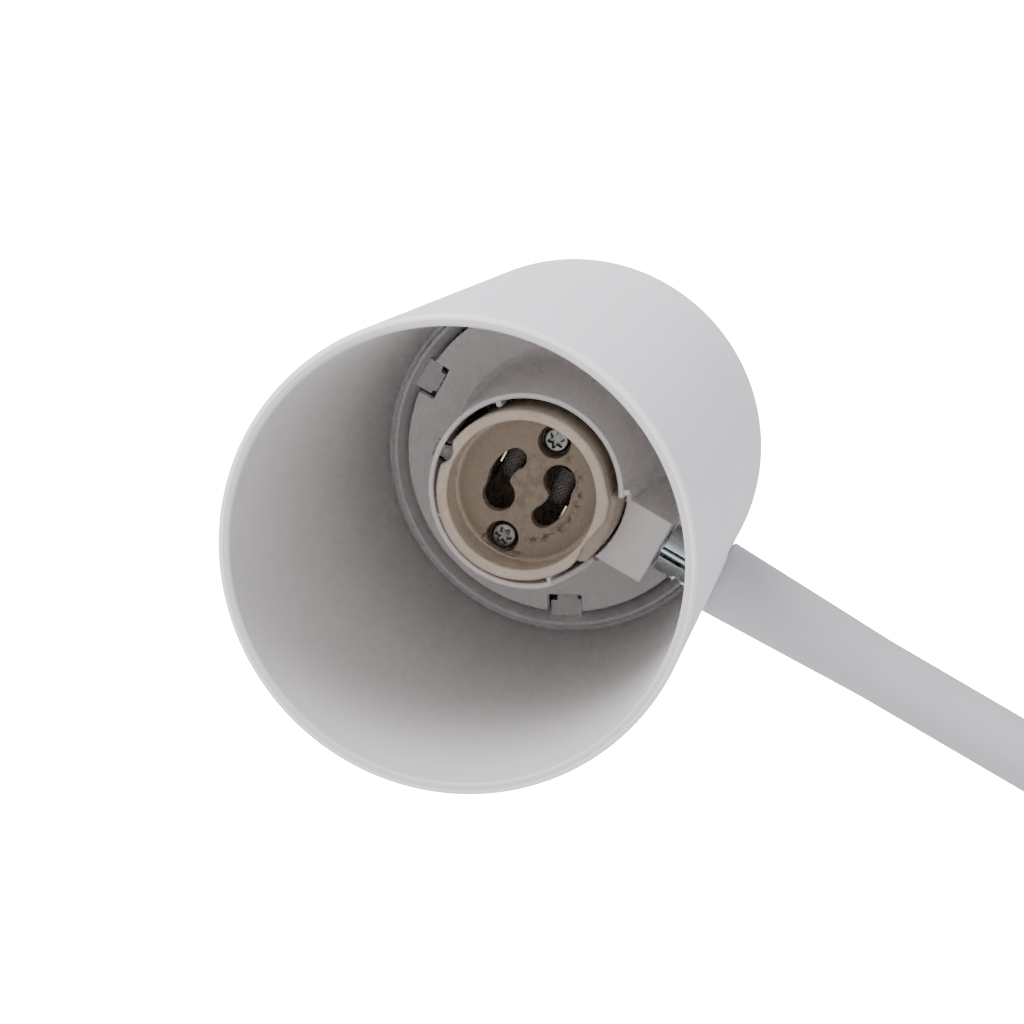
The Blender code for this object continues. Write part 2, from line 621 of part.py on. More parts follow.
def build_slot_stop():
    """Curved insert that fills the slot's back end and stops the arm."""
    front = -INSERT_FRONT
    back = -SLOT_BACK + TOUCH
    inner = LEDGE_RADIUS + STOP_INNER
    thin = shade_radius(-front) - SHADE_WALL
    step = -LEDGE_DEPTH - TOUCH
    outer_front = shade_radius(-front) - STOP_SUNK
    outer_back = shade_radius(-back) - STOP_SUNK
    ring = turned("slot_stop", [(outer_front, front), (outer_back, back), (inner, back), (inner, step),
                                (thin, step), (thin, front)],
                  PLASTIC, shade_frame, steps=60, ring=True)
    window = span("slot_stop_window", (0, -SLOT_WIDTH / 2 + TOUCH, back - 0.001),
                  (2 * RIM_RADIUS, SLOT_WIDTH / 2 - TOUCH, front + 0.001), None, shade_frame)
    shape(ring, window, "INTERSECT")


def build_carrier():
    """Plate, collar, hinge box and cross bar, moulded as one white piece."""
    plate_back = -PLATE_DEPTH - PLATE_THICKNESS
    plate_front = -PLATE_DEPTH
    carrier = turned("socket_carrier", [(COLLAR_RADIUS, -COLLAR_FRONT), (COLLAR_FOOT, plate_front),
                                        (PLATE_RADIUS, plate_front), (PLATE_RADIUS, plate_back),
                                        (COLLAR_BORE, plate_back), (COLLAR_BORE, -COLLAR_FRONT)],
                     PLASTIC, shade_frame, steps=48, ring=True)
    for number, angle in enumerate(TAB_ANGLES):
        notch = span("notch_%d" % number, (PLATE_RADIUS - NOTCH_DEPTH, -NOTCH_WIDTH / 2, plate_back - 0.001),
                     (PLATE_RADIUS + 0.002, NOTCH_WIDTH / 2, plate_front + 0.001), None, shade_frame,
                     (0, 0, 0), (0, 0, angle))
        shape(carrier, notch)
    half = BOX_WIDTH / 2
    box_inner = math.sqrt(COLLAR_BORE ** 2 - half ** 2)
    window = span("collar_window", (box_inner - 0.003, -half, -BOX_FRONT),
                  (COLLAR_FOOT + 0.004, half + 0.001, 0), None, shade_frame)
    shape(carrier, window)
    box = span("hinge_box", (BOX_INNER, -half, plate_back), (BOX_END, half, -BOX_FRONT), None,
               shade_frame)
    shape(carrier, box, "UNION")
    pocket = span("box_pocket", (BOX_INNER + BOX_WALL, -half + BOX_WALL, plate_back - 0.001),
                  (BOX_END - BOX_WALL, half - BOX_WALL, -BOX_FRONT - BOX_WALL), None, shade_frame)
    shape(carrier, pocket)
    stud_hole = rod("stud_hole", STUD_RADIUS + RUNNING, BOX_END - 2 * BOX_WALL, BOX_END + BOX_WALL, None,
                    shade_frame, (0, 0, -PIVOT_DEPTH), (0, math.pi / 2, 0))
    shape(carrier, stud_hole)
    cross = span("cross_bar", (-BAR_WIDTH / 2, -COLLAR_BORE - 0.0006, -BAR_DEPTH - BAR_THICKNESS),
                 (BAR_WIDTH / 2, COLLAR_BORE + 0.0006, -BAR_DEPTH), None, shade_frame)
    shape(carrier, cross, "UNION")
    for side in (-1, 1):
        place = (0, side * HOLDER_SCREW_REACH[side], 0)
        hole = rod("bar_hole_%d" % side, HOLDER_SCREW + RUNNING, -BAR_DEPTH - 2 * BAR_THICKNESS,
                   -BAR_DEPTH + BAR_THICKNESS, None, shade_frame, place, sides=16)
        shape(carrier, hole)


def build_head_hinge():
    """Blade bolted into the carrier's box, and the hinge's screw and nut."""
    out = BOX_END - PIVOT_OFFSET                      # box end, in the head's X
    start = -out - TOUCH
    stud_end = PIVOT_OFFSET - (BOX_INNER + BOX_WALL + STUD_GAP)
    root = start - 0.00005
    profile = [(0, stud_end), (STUD_RADIUS, stud_end), (STUD_RADIUS, root), (0, root)]
    hinge = dict(HEAD_HINGE, neck=start - TOUCH)      # the eye ends just short of the box
    blade("head_blade", hinge, profile, head_axis, (0, 0, 0), (0, -math.pi / 2, 0))
    nut_low = -out + BOX_WALL + TOUCH
    nut = rod("stud_nut", STUD_NUT, nut_low, nut_low + STUD_NUT_HEIGHT, ZINC, head_axis, (0, 0, 0),
              (0, -math.pi / 2, 0), sides=6)
    shape(nut, rod("stud_nut_bore", STUD_RADIUS + TOUCH, nut_low - 0.001, nut_low + STUD_NUT_HEIGHT + 0.001,
                   None, head_axis, (0, 0, 0), (0, -math.pi / 2, 0)))


def keyhole(name, start, depth, length, parent):
    """Cutter of one contact slot: a wide round end, then a narrower arc about the holder's axis."""
    steps = 8
    wide = polar(PIN_CIRCLE, start)
    tool = rod(name, PIN_HEAD, -depth - length, -depth, None, parent, (wide.x, wide.y, 0), sides=20)
    inner, outer = PIN_CIRCLE - PIN_NECK, PIN_CIRCLE + PIN_NECK
    angles = [start - PIN_TURN * i / steps for i in range(steps + 1)]
    points = [tuple(polar(outer, a)[:2]) for a in angles]
    end = polar(PIN_CIRCLE, angles[-1])
    for i in range(1, 6):
        turn = angles[-1] - math.pi * i / 6
        points.append((end.x + PIN_NECK * math.cos(turn), end.y + PIN_NECK * math.sin(turn)))
    points += [tuple(polar(inner, a)[:2]) for a in reversed(angles)]
    track = outline(name + "_track", points, length, None, parent, (0, 0, -depth - length / 2))
    return shape(tool, track, "UNION")


def build_lampholder():
    """Steatite holder with its cup, keyhole slots, screw wells and contact chambers."""
    back = -HOLDER_FRONT - HOLDER_LENGTH
    floor = -HOLDER_FRONT - CUP_DEPTH
    edge = HOLDER_EDGE
    profile = [(0, floor), (CUP_RADIUS - 0.0005, floor), (CUP_RADIUS, -HOLDER_FRONT - edge),
               (CUP_RADIUS + edge, -HOLDER_FRONT), (HOLDER_RADIUS - edge, -HOLDER_FRONT),
               (HOLDER_RADIUS, -HOLDER_FRONT - edge), (HOLDER_RADIUS, back), (0, back)]
    holder = turned("lampholder_body", profile, STEATITE, shade_frame, steps=48)
    for number, start in enumerate((KEYHOLE_START, KEYHOLE_START + math.pi)):
        side = -1 if number == 0 else 1
        tool = keyhole("keyhole_%d" % number, start, HOLDER_FRONT + CUP_DEPTH - 0.001,
                       CHAMBER_ROOF + 0.002, shade_frame)
        shape(holder, tool)
        chamber = span("chamber_%d" % number,
                       (side * CHAMBER_OFFSET - CHAMBER_WIDTH / 2, -CHAMBER_LENGTH / 2, back - 0.001),
                       (side * CHAMBER_OFFSET + CHAMBER_WIDTH / 2, CHAMBER_LENGTH / 2, floor - CHAMBER_ROOF),
                       None, shade_frame)
        shape(holder, chamber)
        place = (0, side * HOLDER_SCREW_REACH[side], 0)
        shape(holder, rod("screw_well_%d" % number, HOLDER_SCREW_WELL, floor - HOLDER_WELL_DEPTH,
                          floor + 0.001, None, shade_frame, place, sides=20))
        shape(holder, rod("screw_bore_%d" % number, HOLDER_SCREW + RUNNING, back - 0.001, floor, None,
                          shade_frame, place, sides=16))

    rear_low = back - TOUCH - REAR_THICKNESS
    rear = rod("lampholder_rear", HOLDER_RADIUS - TOUCH, rear_low, back - TOUCH, STEATITE, shade_frame,
               sides=36)
    for side, label in ((-1, "left"), (1, "right")):
        x = side * CHAMBER_OFFSET
        place = (0, side * HOLDER_SCREW_REACH[side], 0)
        shape(rear, rod("rear_bore_" + label, HOLDER_SCREW + RUNNING, rear_low - 0.001, back + 0.001, None,
                        shade_frame, place, sides=16))
        sleeve_x = x - side * (CHAMBER_WIDTH / 2 - TOUCH - SLEEVE_RADIUS)
        shape(rear, rod("rear_wire_hole_" + label, SLEEVE_RADIUS + RUNNING, rear_low - 0.001, back + 0.001,
                        None, shade_frame, (sleeve_x, 0, 0), sides=16))
        seat = floor - HOLDER_WELL_DEPTH + TOUCH
        top = seat + HOLDER_SCREW_HEIGHT
        tip = -BAR_DEPTH - BAR_THICKNESS
        turned("holder_screw_" + label, [(0, top), (HOLDER_SCREW_HEAD * 0.7, top),
                                         (HOLDER_SCREW_HEAD, top - 0.0006), (HOLDER_SCREW_HEAD, seat),
                                         (HOLDER_SCREW, seat), (HOLDER_SCREW, tip), (0, tip)],
               ZINC, shade_frame, place, steps=20)
        roof = floor - CHAMBER_ROOF
        wall_side = x + side * (CHAMBER_WIDTH / 2 - TOUCH - CONTACT_THICKNESS)
        near, far = sorted((wall_side, wall_side + side * CONTACT_THICKNESS))
        span("contact_" + label, (near, -CONTACT_HALF, back + 0.001), (far, CONTACT_HALF, roof - 0.0008),
             BRONZE, shade_frame)
        bend = WIRE_BEND
        high = roof - 0.0006 - SLEEVE_RADIUS
        route = [(sleeve_x, CHAMBER_LENGTH / 2 - 0.0010, high), (sleeve_x, bend, high)]
        for i in range(1, 5):
            angle = math.pi / 2 * i / 4
            route.append((sleeve_x, bend - bend * math.sin(angle), high - bend + bend * math.cos(angle)))
        route.append((sleeve_x, 0, -PLATE_DEPTH - WIRE_TAIL))
        wire("wire_" + label, route, SLEEVE_RADIUS, BRAID, shade_frame)


def build_clamp():
    """Small serrated clamp for the flex, beside the hinge box."""
    length, width, height = CLAMP_SIZE
    low = (BOX_END + TOUCH, -BOX_WIDTH / 2, -PIVOT_DEPTH - HEAD_HINGE["bar"] - CLAMP_GAP - height)
    clamp = span("flex_clamp", low, (low[0] + length, low[1] + width, low[2] + height), PLASTIC, shade_frame)
    for i in range(3):
        place = (low[0] + 0.0007 + 0.0008 * i, low[1] + width / 2, low[2] + height)
        groove = block("clamp_groove_%d" % i, (0.0006, 2 * width, 0.0006), None, shade_frame, place,
                       (0, math.pi / 4, 0))
        shape(clamp, groove)


build_base()
build_turret()
build_lower_arm()
build_upper_arm()
build_wrist()
pivot_screw("shoulder_screw", ARM_HINGE, swivel_axis, (0, 0, SHOULDER_HEIGHT))
pivot_nut("shoulder_nut", ARM_HINGE, swivel_axis, (0, 0, SHOULDER_HEIGHT))
pivot_screw("elbow_screw", ARM_HINGE, shoulder_axis, (0, 0, LOWER_ARM))
pivot_nut("elbow_nut", ARM_HINGE, shoulder_axis, (0, 0, LOWER_ARM))
pivot_screw("head_screw", HEAD_HINGE, wrist_axis)
pivot_nut("head_nut", HEAD_HINGE, wrist_axis)
build_shade()
build_slot_stop()
build_carrier()
build_head_hinge()
build_lampholder()
build_clamp()
bpy.context.view_layer.update()
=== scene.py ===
"""Looks of the swing arm desk lamp.

Lengths in the shapes are millimetres in a piece's own place; build() puts them into the lamp in metres.
Places are (origin, rows), where the rows are the place's X, Y and Z axes:
  TURRET    hinge of the lower arm, in the lamp's own axes
  SHOULDER  the same hinge, Z up along the lower arm
  ELBOW     hinge between the arms, Z along the upper arm to the head
  WRIST     head hinge, Z on along the upper arm, X the way the shade's mouth looks
  HEAD      the same hinge, Z the way the shade's mouth looks
  SHADE     middle of the shade's rim, Z out of the mouth, X towards the arm
"""

import json

import bmesh
import bpy
import numpy as np
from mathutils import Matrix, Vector
from mathutils.geometry import tessellate_polygon


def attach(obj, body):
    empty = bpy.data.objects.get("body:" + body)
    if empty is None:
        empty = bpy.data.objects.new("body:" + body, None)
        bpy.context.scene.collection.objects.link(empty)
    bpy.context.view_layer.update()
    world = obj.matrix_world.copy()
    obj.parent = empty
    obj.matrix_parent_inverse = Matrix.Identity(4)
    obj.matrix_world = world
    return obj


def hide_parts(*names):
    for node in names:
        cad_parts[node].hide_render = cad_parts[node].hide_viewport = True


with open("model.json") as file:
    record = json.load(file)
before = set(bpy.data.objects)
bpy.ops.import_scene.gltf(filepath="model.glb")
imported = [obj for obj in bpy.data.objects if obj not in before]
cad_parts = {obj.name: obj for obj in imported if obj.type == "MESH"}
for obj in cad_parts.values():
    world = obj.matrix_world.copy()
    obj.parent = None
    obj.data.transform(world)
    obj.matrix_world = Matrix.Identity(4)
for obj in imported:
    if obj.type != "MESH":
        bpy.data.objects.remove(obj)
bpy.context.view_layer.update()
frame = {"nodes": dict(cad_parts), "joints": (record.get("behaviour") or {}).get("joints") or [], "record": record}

# ---------------------------------------------------------------- sizes
MM = 0.001
RIM, BACK, LENGTH, WALL = 35.8, 29.9, 96.0, 1.87
SLOT_HALF, SLOT_FRONT, SLOT_BACK = 6.5, 56.4, 91.0
SLOT_COLUMNS = 14
STOP_FRONT, STOP_SUNK, STOP_FOOT = 74.2, 0.1, 80.8
LEDGE, LEDGE_LIP, INNER_BACK = 80.6, 27.5, 94.1
PLATE, PLATE_FRONT, PLATE_MIDDLE, PLATE_BACK = 25.7, 79.0, 80.0, 81.0
COLLAR_IN, COLLAR_OUT, COLLAR_FRONT = 14.6, 15.5, 49.5
BOX_FRONT, BOX_HALF, BOX_END, BOX_HOLLOW = 56.5, 5.5, 22.0, 14.85
NOTCH_HALF, NOTCH_FOOT = 2.8, 22.9
NOTCH_ANGLES = (180, -61, 59)
HOLDER_FRONT, CUP, FLOOR = 46.2, 11.76, 52.2
PIN_CIRCLE, PIN_WIDE, PIN_NARROW = 5.0, 2.55, 1.7
BAR_HALF, BAR_END, BAR_FRONT, BAR_BACK = 2.1, 15.2, 71.2, 73.6
WELL, WELL_FLOOR = 2.6, 55.7
UPPER_WELL, LOWER_WELL = 8.5, -9.1
HOLDING_SCREW = dict(head=2.1, top=-53.6, seat=-55.2, shaft=1.2, tip=-BAR_BACK, deep=1.1)
PIVOT_OUT, PIVOT_DEPTH = 26.5, 63.4
STUD_END = PIVOT_OUT - 16.9
ARM, TUBE, MOUTH, FLARE = 230.0, 5.0, 6.0, 29.0
ARM_HINGE = dict(bar=5.0, slot=2.6, blade=2.0, eye=4.2, end=5.3, deep=5.2, neck=6.4, reach=9.0,
                 screw=1.9, head=3.1, seat=3.4)
HEAD_HINGE = dict(bar=4.0, slot=1.7, blade=1.0, eye=3.6, end=4.1, deep=4.4, neck=4.2, reach=5.0,
                  screw=1.5, head=2.5, seat=2.7)


# ---------------------------------------------------------------- places
def unit(v):
    """The vector at length one."""
    return np.asarray(v, float) / np.linalg.norm(v)


def place(origin, z, y):
    """Place with the given Z and Y; X is Y cross Z."""
    z, y = unit(z), unit(y)
    return np.asarray(origin, float), np.stack([np.cross(y, z), y, z])


def shifted(spot, x, y, z):
    """The place moved along its own axes, in millimetres."""
    return spot[0] + np.array([x, y, z]) @ spot[1] * MM, spot[1]


JOINTS = {j["name"]: j for j in frame["joints"]}
PIVOT = {name: np.array(j["pos_m"], float) for name, j in JOINTS.items()}
TURN = {name: np.array(j["axis"], float) for name, j in JOINTS.items()}
TURRET = place(PIVOT["shoulder_tilt"], (0, 0, 1), (0, 1, 0))
SHOULDER = place(PIVOT["shoulder_tilt"], PIVOT["elbow_tilt"] - PIVOT["shoulder_tilt"], TURN["shoulder_tilt"])
ELBOW = place(PIVOT["elbow_tilt"], PIVOT["head_tilt"] - PIVOT["elbow_tilt"], TURN["elbow_tilt"])
WRIST = place(PIVOT["head_tilt"], TURN["head_twist"], TURN["head_tilt"])
HEAD = place(PIVOT["head_tilt"], WRIST[1][0], TURN["head_tilt"])
SHADE = shifted(HEAD, -PIVOT_OUT, 0, PIVOT_DEPTH)


# ---------------------------------------------------------------- shapes
def rounded(corners, steps=5, closed=False):
    """Line through corners (a, b, radius): an arc that touches both its sides replaces each corner that has a
    radius."""
    corners = np.array(corners, float)
    spots, radii = corners[:, :2], corners[:, 2]
    line = []
    for i, (here, radius) in enumerate(zip(spots, radii)):
        if radius == 0 or (not closed and i in (0, len(spots) - 1)):
            line.append(here[None])
            continue
        back = unit(spots[i - 1] - here)
        ahead = unit(spots[(i + 1) % len(spots)] - here)
        half = np.arccos(np.clip(back @ ahead, -1, 1)) / 2
        middle = here + unit(back + ahead) * radius / np.sin(half)
        start = here + back * radius / np.tan(half) - middle
        end = here + ahead * radius / np.tan(half) - middle
        sweep = np.arctan2(start[0] * end[1] - start[1] * end[0], start @ end)
        turn = np.linspace(0, sweep, steps + 1)[:, None]
        line.append(middle + np.cos(turn) * start + np.sin(turn) * np.array([-start[1], start[0]]))
    return np.concatenate(line)


def split(line, heights):
    """The (radius, height) line with a point added wherever it crosses one of the heights."""
    for height in heights:
        a, b = line[:-1, 1] - height, line[1:, 1] - height
        found = np.flatnonzero(a * b < -1e-12)
        share = (a[found] / (a[found] - b[found]))[:, None]
        line = np.insert(line, found + 1, line[found] * (1 - share) + line[found + 1] * share, axis=0)
    return line


def shell(points, around=False, along=False):
    """Surface of rows of points, four-sided faces between them; around joins each row's two ends, along the
    last row to the first."""
    rows, columns = points.shape[:2]
    index = np.arange(rows * columns).reshape(rows, columns)
    if around:
        index = np.concatenate([index, index[:, :1]], 1)
    if along:
        index = np.concatenate([index, index[:1]], 0)
    faces = np.stack([index[:-1, :-1], index[:-1, 1:], index[1:, 1:], index[1:, :-1]], -1)
    return points.reshape(-1, 3), faces.reshape(-1, 4).tolist()


def patch(points):
    """One many-sided face."""
    return points, [list(range(len(points)))]


def carried_round(radius, angle, height):
    """Points (radius cos a, radius sin a, height), the three spread against each other."""
    across, upward = radius * np.cos(angle), radius * np.sin(angle)
    return np.stack(np.broadcast_arrays(across, upward, height + 0 * angle), -1)


def turned(profile, sides=144, along=False):
    """Surface of revolution about Z: radius and height of the profile carried round the circle."""
    profile = np.asarray(profile, float)
    angle = 2 * np.pi * np.arange(sides) / sides
    return shell(carried_round(profile[:, :1], angle, profile[:, 1:]), True, along)


def inset(outline, distance):
    """Outline with every side moved to its left by the distance."""
    before = outline - np.roll(outline, 1, 0)
    after = np.roll(outline, -1, 0) - outline
    normals = [np.stack([-d[:, 1], d[:, 0]], -1) / np.linalg.norm(d, axis=1)[:, None]
               for d in (before, after)]
    move = normals[0] + normals[1]
    return outline + distance * move / (move * normals[1]).sum(1)[:, None]


def raised(outline, height):
    """Flat outline at a height."""
    return np.column_stack([outline, np.full(len(outline), height)])


def slab(outline, low, high, edge=0.25, holes=(), steps=3):
    """Flat shape between two heights with quarter-round edges: in from the side by edge (1 - sin t), down
    from the face by edge (1 - cos t). The outline runs anticlockwise and its holes clockwise."""
    turn = np.linspace(0, np.pi / 2, steps + 1)
    inwards = edge * (1 - np.sin(turn))
    down = edge * (1 - np.cos(turn))
    inwards = np.concatenate([inwards, inwards[::-1]])
    heights = np.concatenate([high - down, (low + down)[::-1]])
    shells, tops, bottoms = [], [], []
    for loop in (outline, *holes):
        rows = np.stack([raised(inset(loop, i), h) for i, h in zip(inwards, heights)])
        shells.append(shell(rows, True))
        tops.append(rows[0])
        bottoms.append(rows[-1])
    for loops in (tops, bottoms):
        if holes:
            faces = tessellate_polygon([[Vector(p) for p in loop] for loop in loops])
            shells.append((np.concatenate(loops), [list(f) for f in faces]))
        else:
            shells.append(patch(loops[0]))
    return shells


def tube(path, radius, sides=32):
    """Points of a round tube along a path, its ends open: each ring is the path's point plus the radius times
    (across cos a + upward sin a), where both stand square to the path."""
    path = np.asarray(path, float)
    along = np.gradient(path, axis=0)
    along /= np.linalg.norm(along, axis=1)[:, None]
    across = np.cross(along, np.array([1.0, 0, 0]))
    across /= np.linalg.norm(across, axis=1)[:, None]
    upward = np.cross(across, along)
    angle = np.linspace(0, 2 * np.pi, sides + 1)
    ring = across[:, None] * np.cos(angle)[:, None] + upward[:, None] * np.sin(angle)[:, None]
    return path[:, None] + radius * ring


def turned_by(shells, degrees):
    """The shells turned about Z."""
    c, s = np.cos(np.radians(degrees)), np.sin(np.radians(degrees))
    return [(points @ np.array([[c, s, 0], [-s, c, 0], [0, 0, 1]]), faces) for points, faces in shells]


def circle(radius, sides=48, middle=(0, 0), clockwise=False):
    """Points round a circle."""
    angle = 2 * np.pi * np.arange(sides) / sides * (-1 if clockwise else 1)
    return np.column_stack([middle[0] + radius * np.cos(angle), middle[1] + radius * np.sin(angle)])


def upright(shells):
    """The shells with their Z laid along -Y, and their Y upwards."""
    return [(np.column_stack([p[:, 0], -p[:, 2], p[:, 1]]), faces) for p, faces in shells]


def mirrored(shells):
    """The shells on the other side of the XZ plane."""
    return [(p * (1, -1, 1), faces) for p, faces in shells]


def build(name, shells, spot, look, body, nodes=(), bevel=0.0, crease=38, uv=None):
    """One piece from its shells: doubles merged, faces turned outwards, and shaded smooth up to the crease
    angle."""
    points, faces, count = [], [], 0
    for part, part_faces in shells:
        points.append(part)
        faces.extend([[i + count for i in face] for face in part_faces])
        count += len(part)
    flat = np.concatenate(points)
    mesh = bpy.data.meshes.new(name)
    mesh.from_pydata(spot[0] + flat @ spot[1] * MM, [], faces)
    if uv is not None:
        chart = uv(flat) if callable(uv) else uv
        corner = np.zeros(len(mesh.loops), np.int32)
        mesh.loops.foreach_get("vertex_index", corner)
        mesh.uv_layers.new(name="chart").data.foreach_set("uv", chart[corner].astype(np.float32).ravel())
    bm = bmesh.new()
    bm.from_mesh(mesh)
    bmesh.ops.remove_doubles(bm, verts=bm.verts, dist=2e-6)
    bmesh.ops.dissolve_degenerate(bm, edges=bm.edges, dist=1e-7)
    bmesh.ops.recalc_face_normals(bm, faces=bm.faces)
    bm.to_mesh(mesh)
    bm.free()
    mesh.shade_smooth()
    mesh.set_sharp_from_angle(angle=np.radians(crease))
    mesh.materials.append(look)
    piece = bpy.data.objects.new(name, mesh)
    bpy.context.scene.collection.objects.link(piece)
    if bevel:
        soften = piece.modifiers.new("soften", "BEVEL")
        soften.width = bevel * MM
        soften.segments = 2
        soften.limit_method = "ANGLE"
        soften.angle_limit = np.radians(50)
        soften.use_clamp_overlap = True
    normals = piece.modifiers.new("normals", "WEIGHTED_NORMAL")
    normals.keep_sharp = True
    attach(piece, body)
    if nodes:
        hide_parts(*nodes)
    return piece


# ---------------------------------------------------------------- finishes
class Nodes:
    """A material's node tree, built a node at a time."""

    def __init__(self, name):
        self.material = bpy.data.materials.new(name)
        self.material.use_nodes = True
        self.tree = self.material.node_tree
        self.shader = self.tree.nodes["Principled BSDF"]

    def add(self, kind, inputs=None, **settings):
        """A node with its settings and its inputs, each a value or another node's output."""
        node = self.tree.nodes.new(kind)
        for key, value in settings.items():
            setattr(node, key, value)
        for key, value in (inputs or {}).items():
            self.put(node.inputs[key], value)
        return node

    def put(self, socket, value):
        """Value or link into a socket."""
        if isinstance(value, bpy.types.NodeSocket):
            self.tree.links.new(value, socket)
        else:
            socket.default_value = value

    def surface(self, **inputs):
        """Inputs of the surface shader, by their names with underscores."""
        for key, value in inputs.items():
            self.put(self.shader.inputs[key.replace("_", " ")], value)
        return self.material

    def place(self, kind="Object"):
        """Coordinates of the piece, in metres."""
        return self.add("ShaderNodeTexCoord").outputs[kind]

    def noise(self, spot, scale, detail=3.0, roughness=0.5, **more):
        """Noise value at a scale in waves a metre."""
        return self.add("ShaderNodeTexNoise", {"Vector": spot, "Scale": scale, "Detail": detail,
                                               "Roughness": roughness, **more}).outputs["Fac"]

    def span(self, value, low, high, to_low, to_high):
        """Value carried from one range to another, and kept inside it."""
        return self.add("ShaderNodeMapRange", {"Value": value, "From Min": low, "From Max": high,
                                               "To Min": to_low, "To Max": to_high}).outputs["Result"]

    def mix(self, share, a, b, blend="MIX"):
        """Two colours mixed."""
        node = self.add("ShaderNodeMix", data_type="RGBA", blend_type=blend)
        for socket, value in zip((node.inputs[0], node.inputs[6], node.inputs[7]), (share, a, b)):
            self.put(socket, (*value, 1.0) if isinstance(value, tuple) and len(value) == 3 else value)
        return node.outputs[2]

    def bump(self, height, distance, strength=1.0, normal=None):
        """Normal of a height field whose full step is the distance, in metres."""
        inputs = {"Height": height, "Distance": distance, "Strength": strength}
        if normal is not None:
            inputs["Normal"] = normal
        return self.add("ShaderNodeBump", inputs).outputs["Normal"]

    def math(self, operation, a, b=0.0):
        """Arithmetic on two values."""
        return self.add("ShaderNodeMath", {0: a, 1: b}, operation=operation).outputs[0]


def scaled(colour, share):
    """The colour with its three parts multiplied."""
    return tuple(c * share for c in colour)


def moulded(name, colour, roughness, dust):
    """Moulded plastic: spark-eroded grain, faint flow marks in the gloss and a little dust."""
    n = Nodes(name)
    spot = n.place()
    grain = n.noise(spot, 5200, 2)
    flow = n.noise(spot, 45, 2)
    specks = n.span(n.noise(spot, 900, 4, 0.7), 0.62, 0.8, 0, dust)
    shade = n.mix(n.span(flow, 0.3, 0.7, 0, 1), colour, scaled(colour, 0.975))
    shade = n.mix(specks, shade, scaled(colour, 0.55))
    gloss = n.span(n.noise(spot, 700, 3), 0.3, 0.7, roughness - 0.02, roughness + 0.03)
    return n.surface(Base_Color=shade, Roughness=gloss, Normal=n.bump(grain, 0.00001, 0.12),
                     Specular_IOR_Level=0.5)


def enamelled(name, colour):
    """Sprayed enamel on steel: orange peel under a clear gloss."""
    n = Nodes(name)
    spot = n.place()
    peel = n.noise(spot, 900, 2)
    cloud = n.noise(spot, 60, 2)
    shade = n.mix(n.span(cloud, 0.35, 0.65, 0, 1), colour, scaled(colour, 0.97))
    gloss = n.span(n.noise(spot, 2400, 3), 0.3, 0.7, 0.40, 0.50)
    return n.surface(Base_Color=shade, Roughness=gloss, Coat_Weight=0.15, Coat_Roughness=0.3,
                     Normal=n.bump(peel, 0.00003, 0.25))


def zinc_plated(name, colour, roughness):
    """Blue-white zinc plate: fine marks, dull patches and a slight change of tint between them."""
    n = Nodes(name)
    spot = n.place()
    patches = n.noise(spot, 260, 4, 0.6)
    warmer = (colour[0] * 1.05, colour[1], colour[2] * 0.9)
    tint = n.mix(n.span(patches, 0.4, 0.62, 0, 1), colour, warmer)
    tint = n.mix(n.span(n.noise(spot, 1500, 4, 0.7), 0.6, 0.75, 0, 0.5), tint, scaled(colour, 0.6))
    gloss = n.span(patches, 0.3, 0.7, roughness - 0.06, roughness + 0.12)
    marks = n.noise(spot, 3800, 3)
    return n.surface(Base_Color=tint, Metallic=1.0, Roughness=gloss, Normal=n.bump(marks, 0.00001, 0.4))


def ceramic(name):
    """Unglazed steatite: fine grain, pits, a paler pressed rim, rubbed marks round the slots. The chart is
    the distance from the holder's axis in centimetres, both ways across."""
    n = Nodes(name)
    spot = n.place()
    chart = n.place("UV")
    away = n.add("ShaderNodeVectorMath", {0: chart}, operation="LENGTH").outputs["Value"]
    grain = n.noise(spot, 2600, 4, 0.6)
    cloud = n.noise(spot, 220, 3)
    rim = n.span(away, 1.09, 1.17, 0, 1)
    base = n.mix(rim, (0.25, 0.195, 0.145), (0.62, 0.52, 0.42))
    base = n.mix(n.span(cloud, 0.3, 0.7, 0, 0.35), base, (0.30, 0.24, 0.18))
    base = n.mix(n.span(grain, 0.60, 0.74, 0, 0.55), base, (0.10, 0.07, 0.05))
    ring = n.math("ABSOLUTE", n.math("SUBTRACT", away, 0.80))
    rubbed = n.math("MULTIPLY", n.span(ring, 0.0, 0.10, 1, 0),
                    n.span(n.noise(chart, 5.5, 4, 0.7), 0.46, 0.58, 0, 1))
    side = n.add("ShaderNodeSeparateXYZ", {0: chart})
    rubbed = n.math("MULTIPLY", rubbed, n.span(side.outputs["X"], 0.15, 0.4, 0, 0.85))
    base = n.mix(rubbed, base, (0.03, 0.024, 0.02))
    soot = n.math("MULTIPLY", n.span(away, 0.35, 0.75, 1, 0),
                  n.span(n.noise(spot, 700, 3), 0.42, 0.62, 0, 0.5))
    base = n.mix(soot, base, (0.13, 0.095, 0.07))
    height = n.add("ShaderNodeMix", {0: 0.35, 2: grain, 3: cloud}, data_type="FLOAT").outputs[0]
    return n.surface(Base_Color=base, Roughness=n.span(grain, 0.3, 0.7, 0.62, 0.78),
                     Normal=n.bump(height, 0.00012, 0.55))


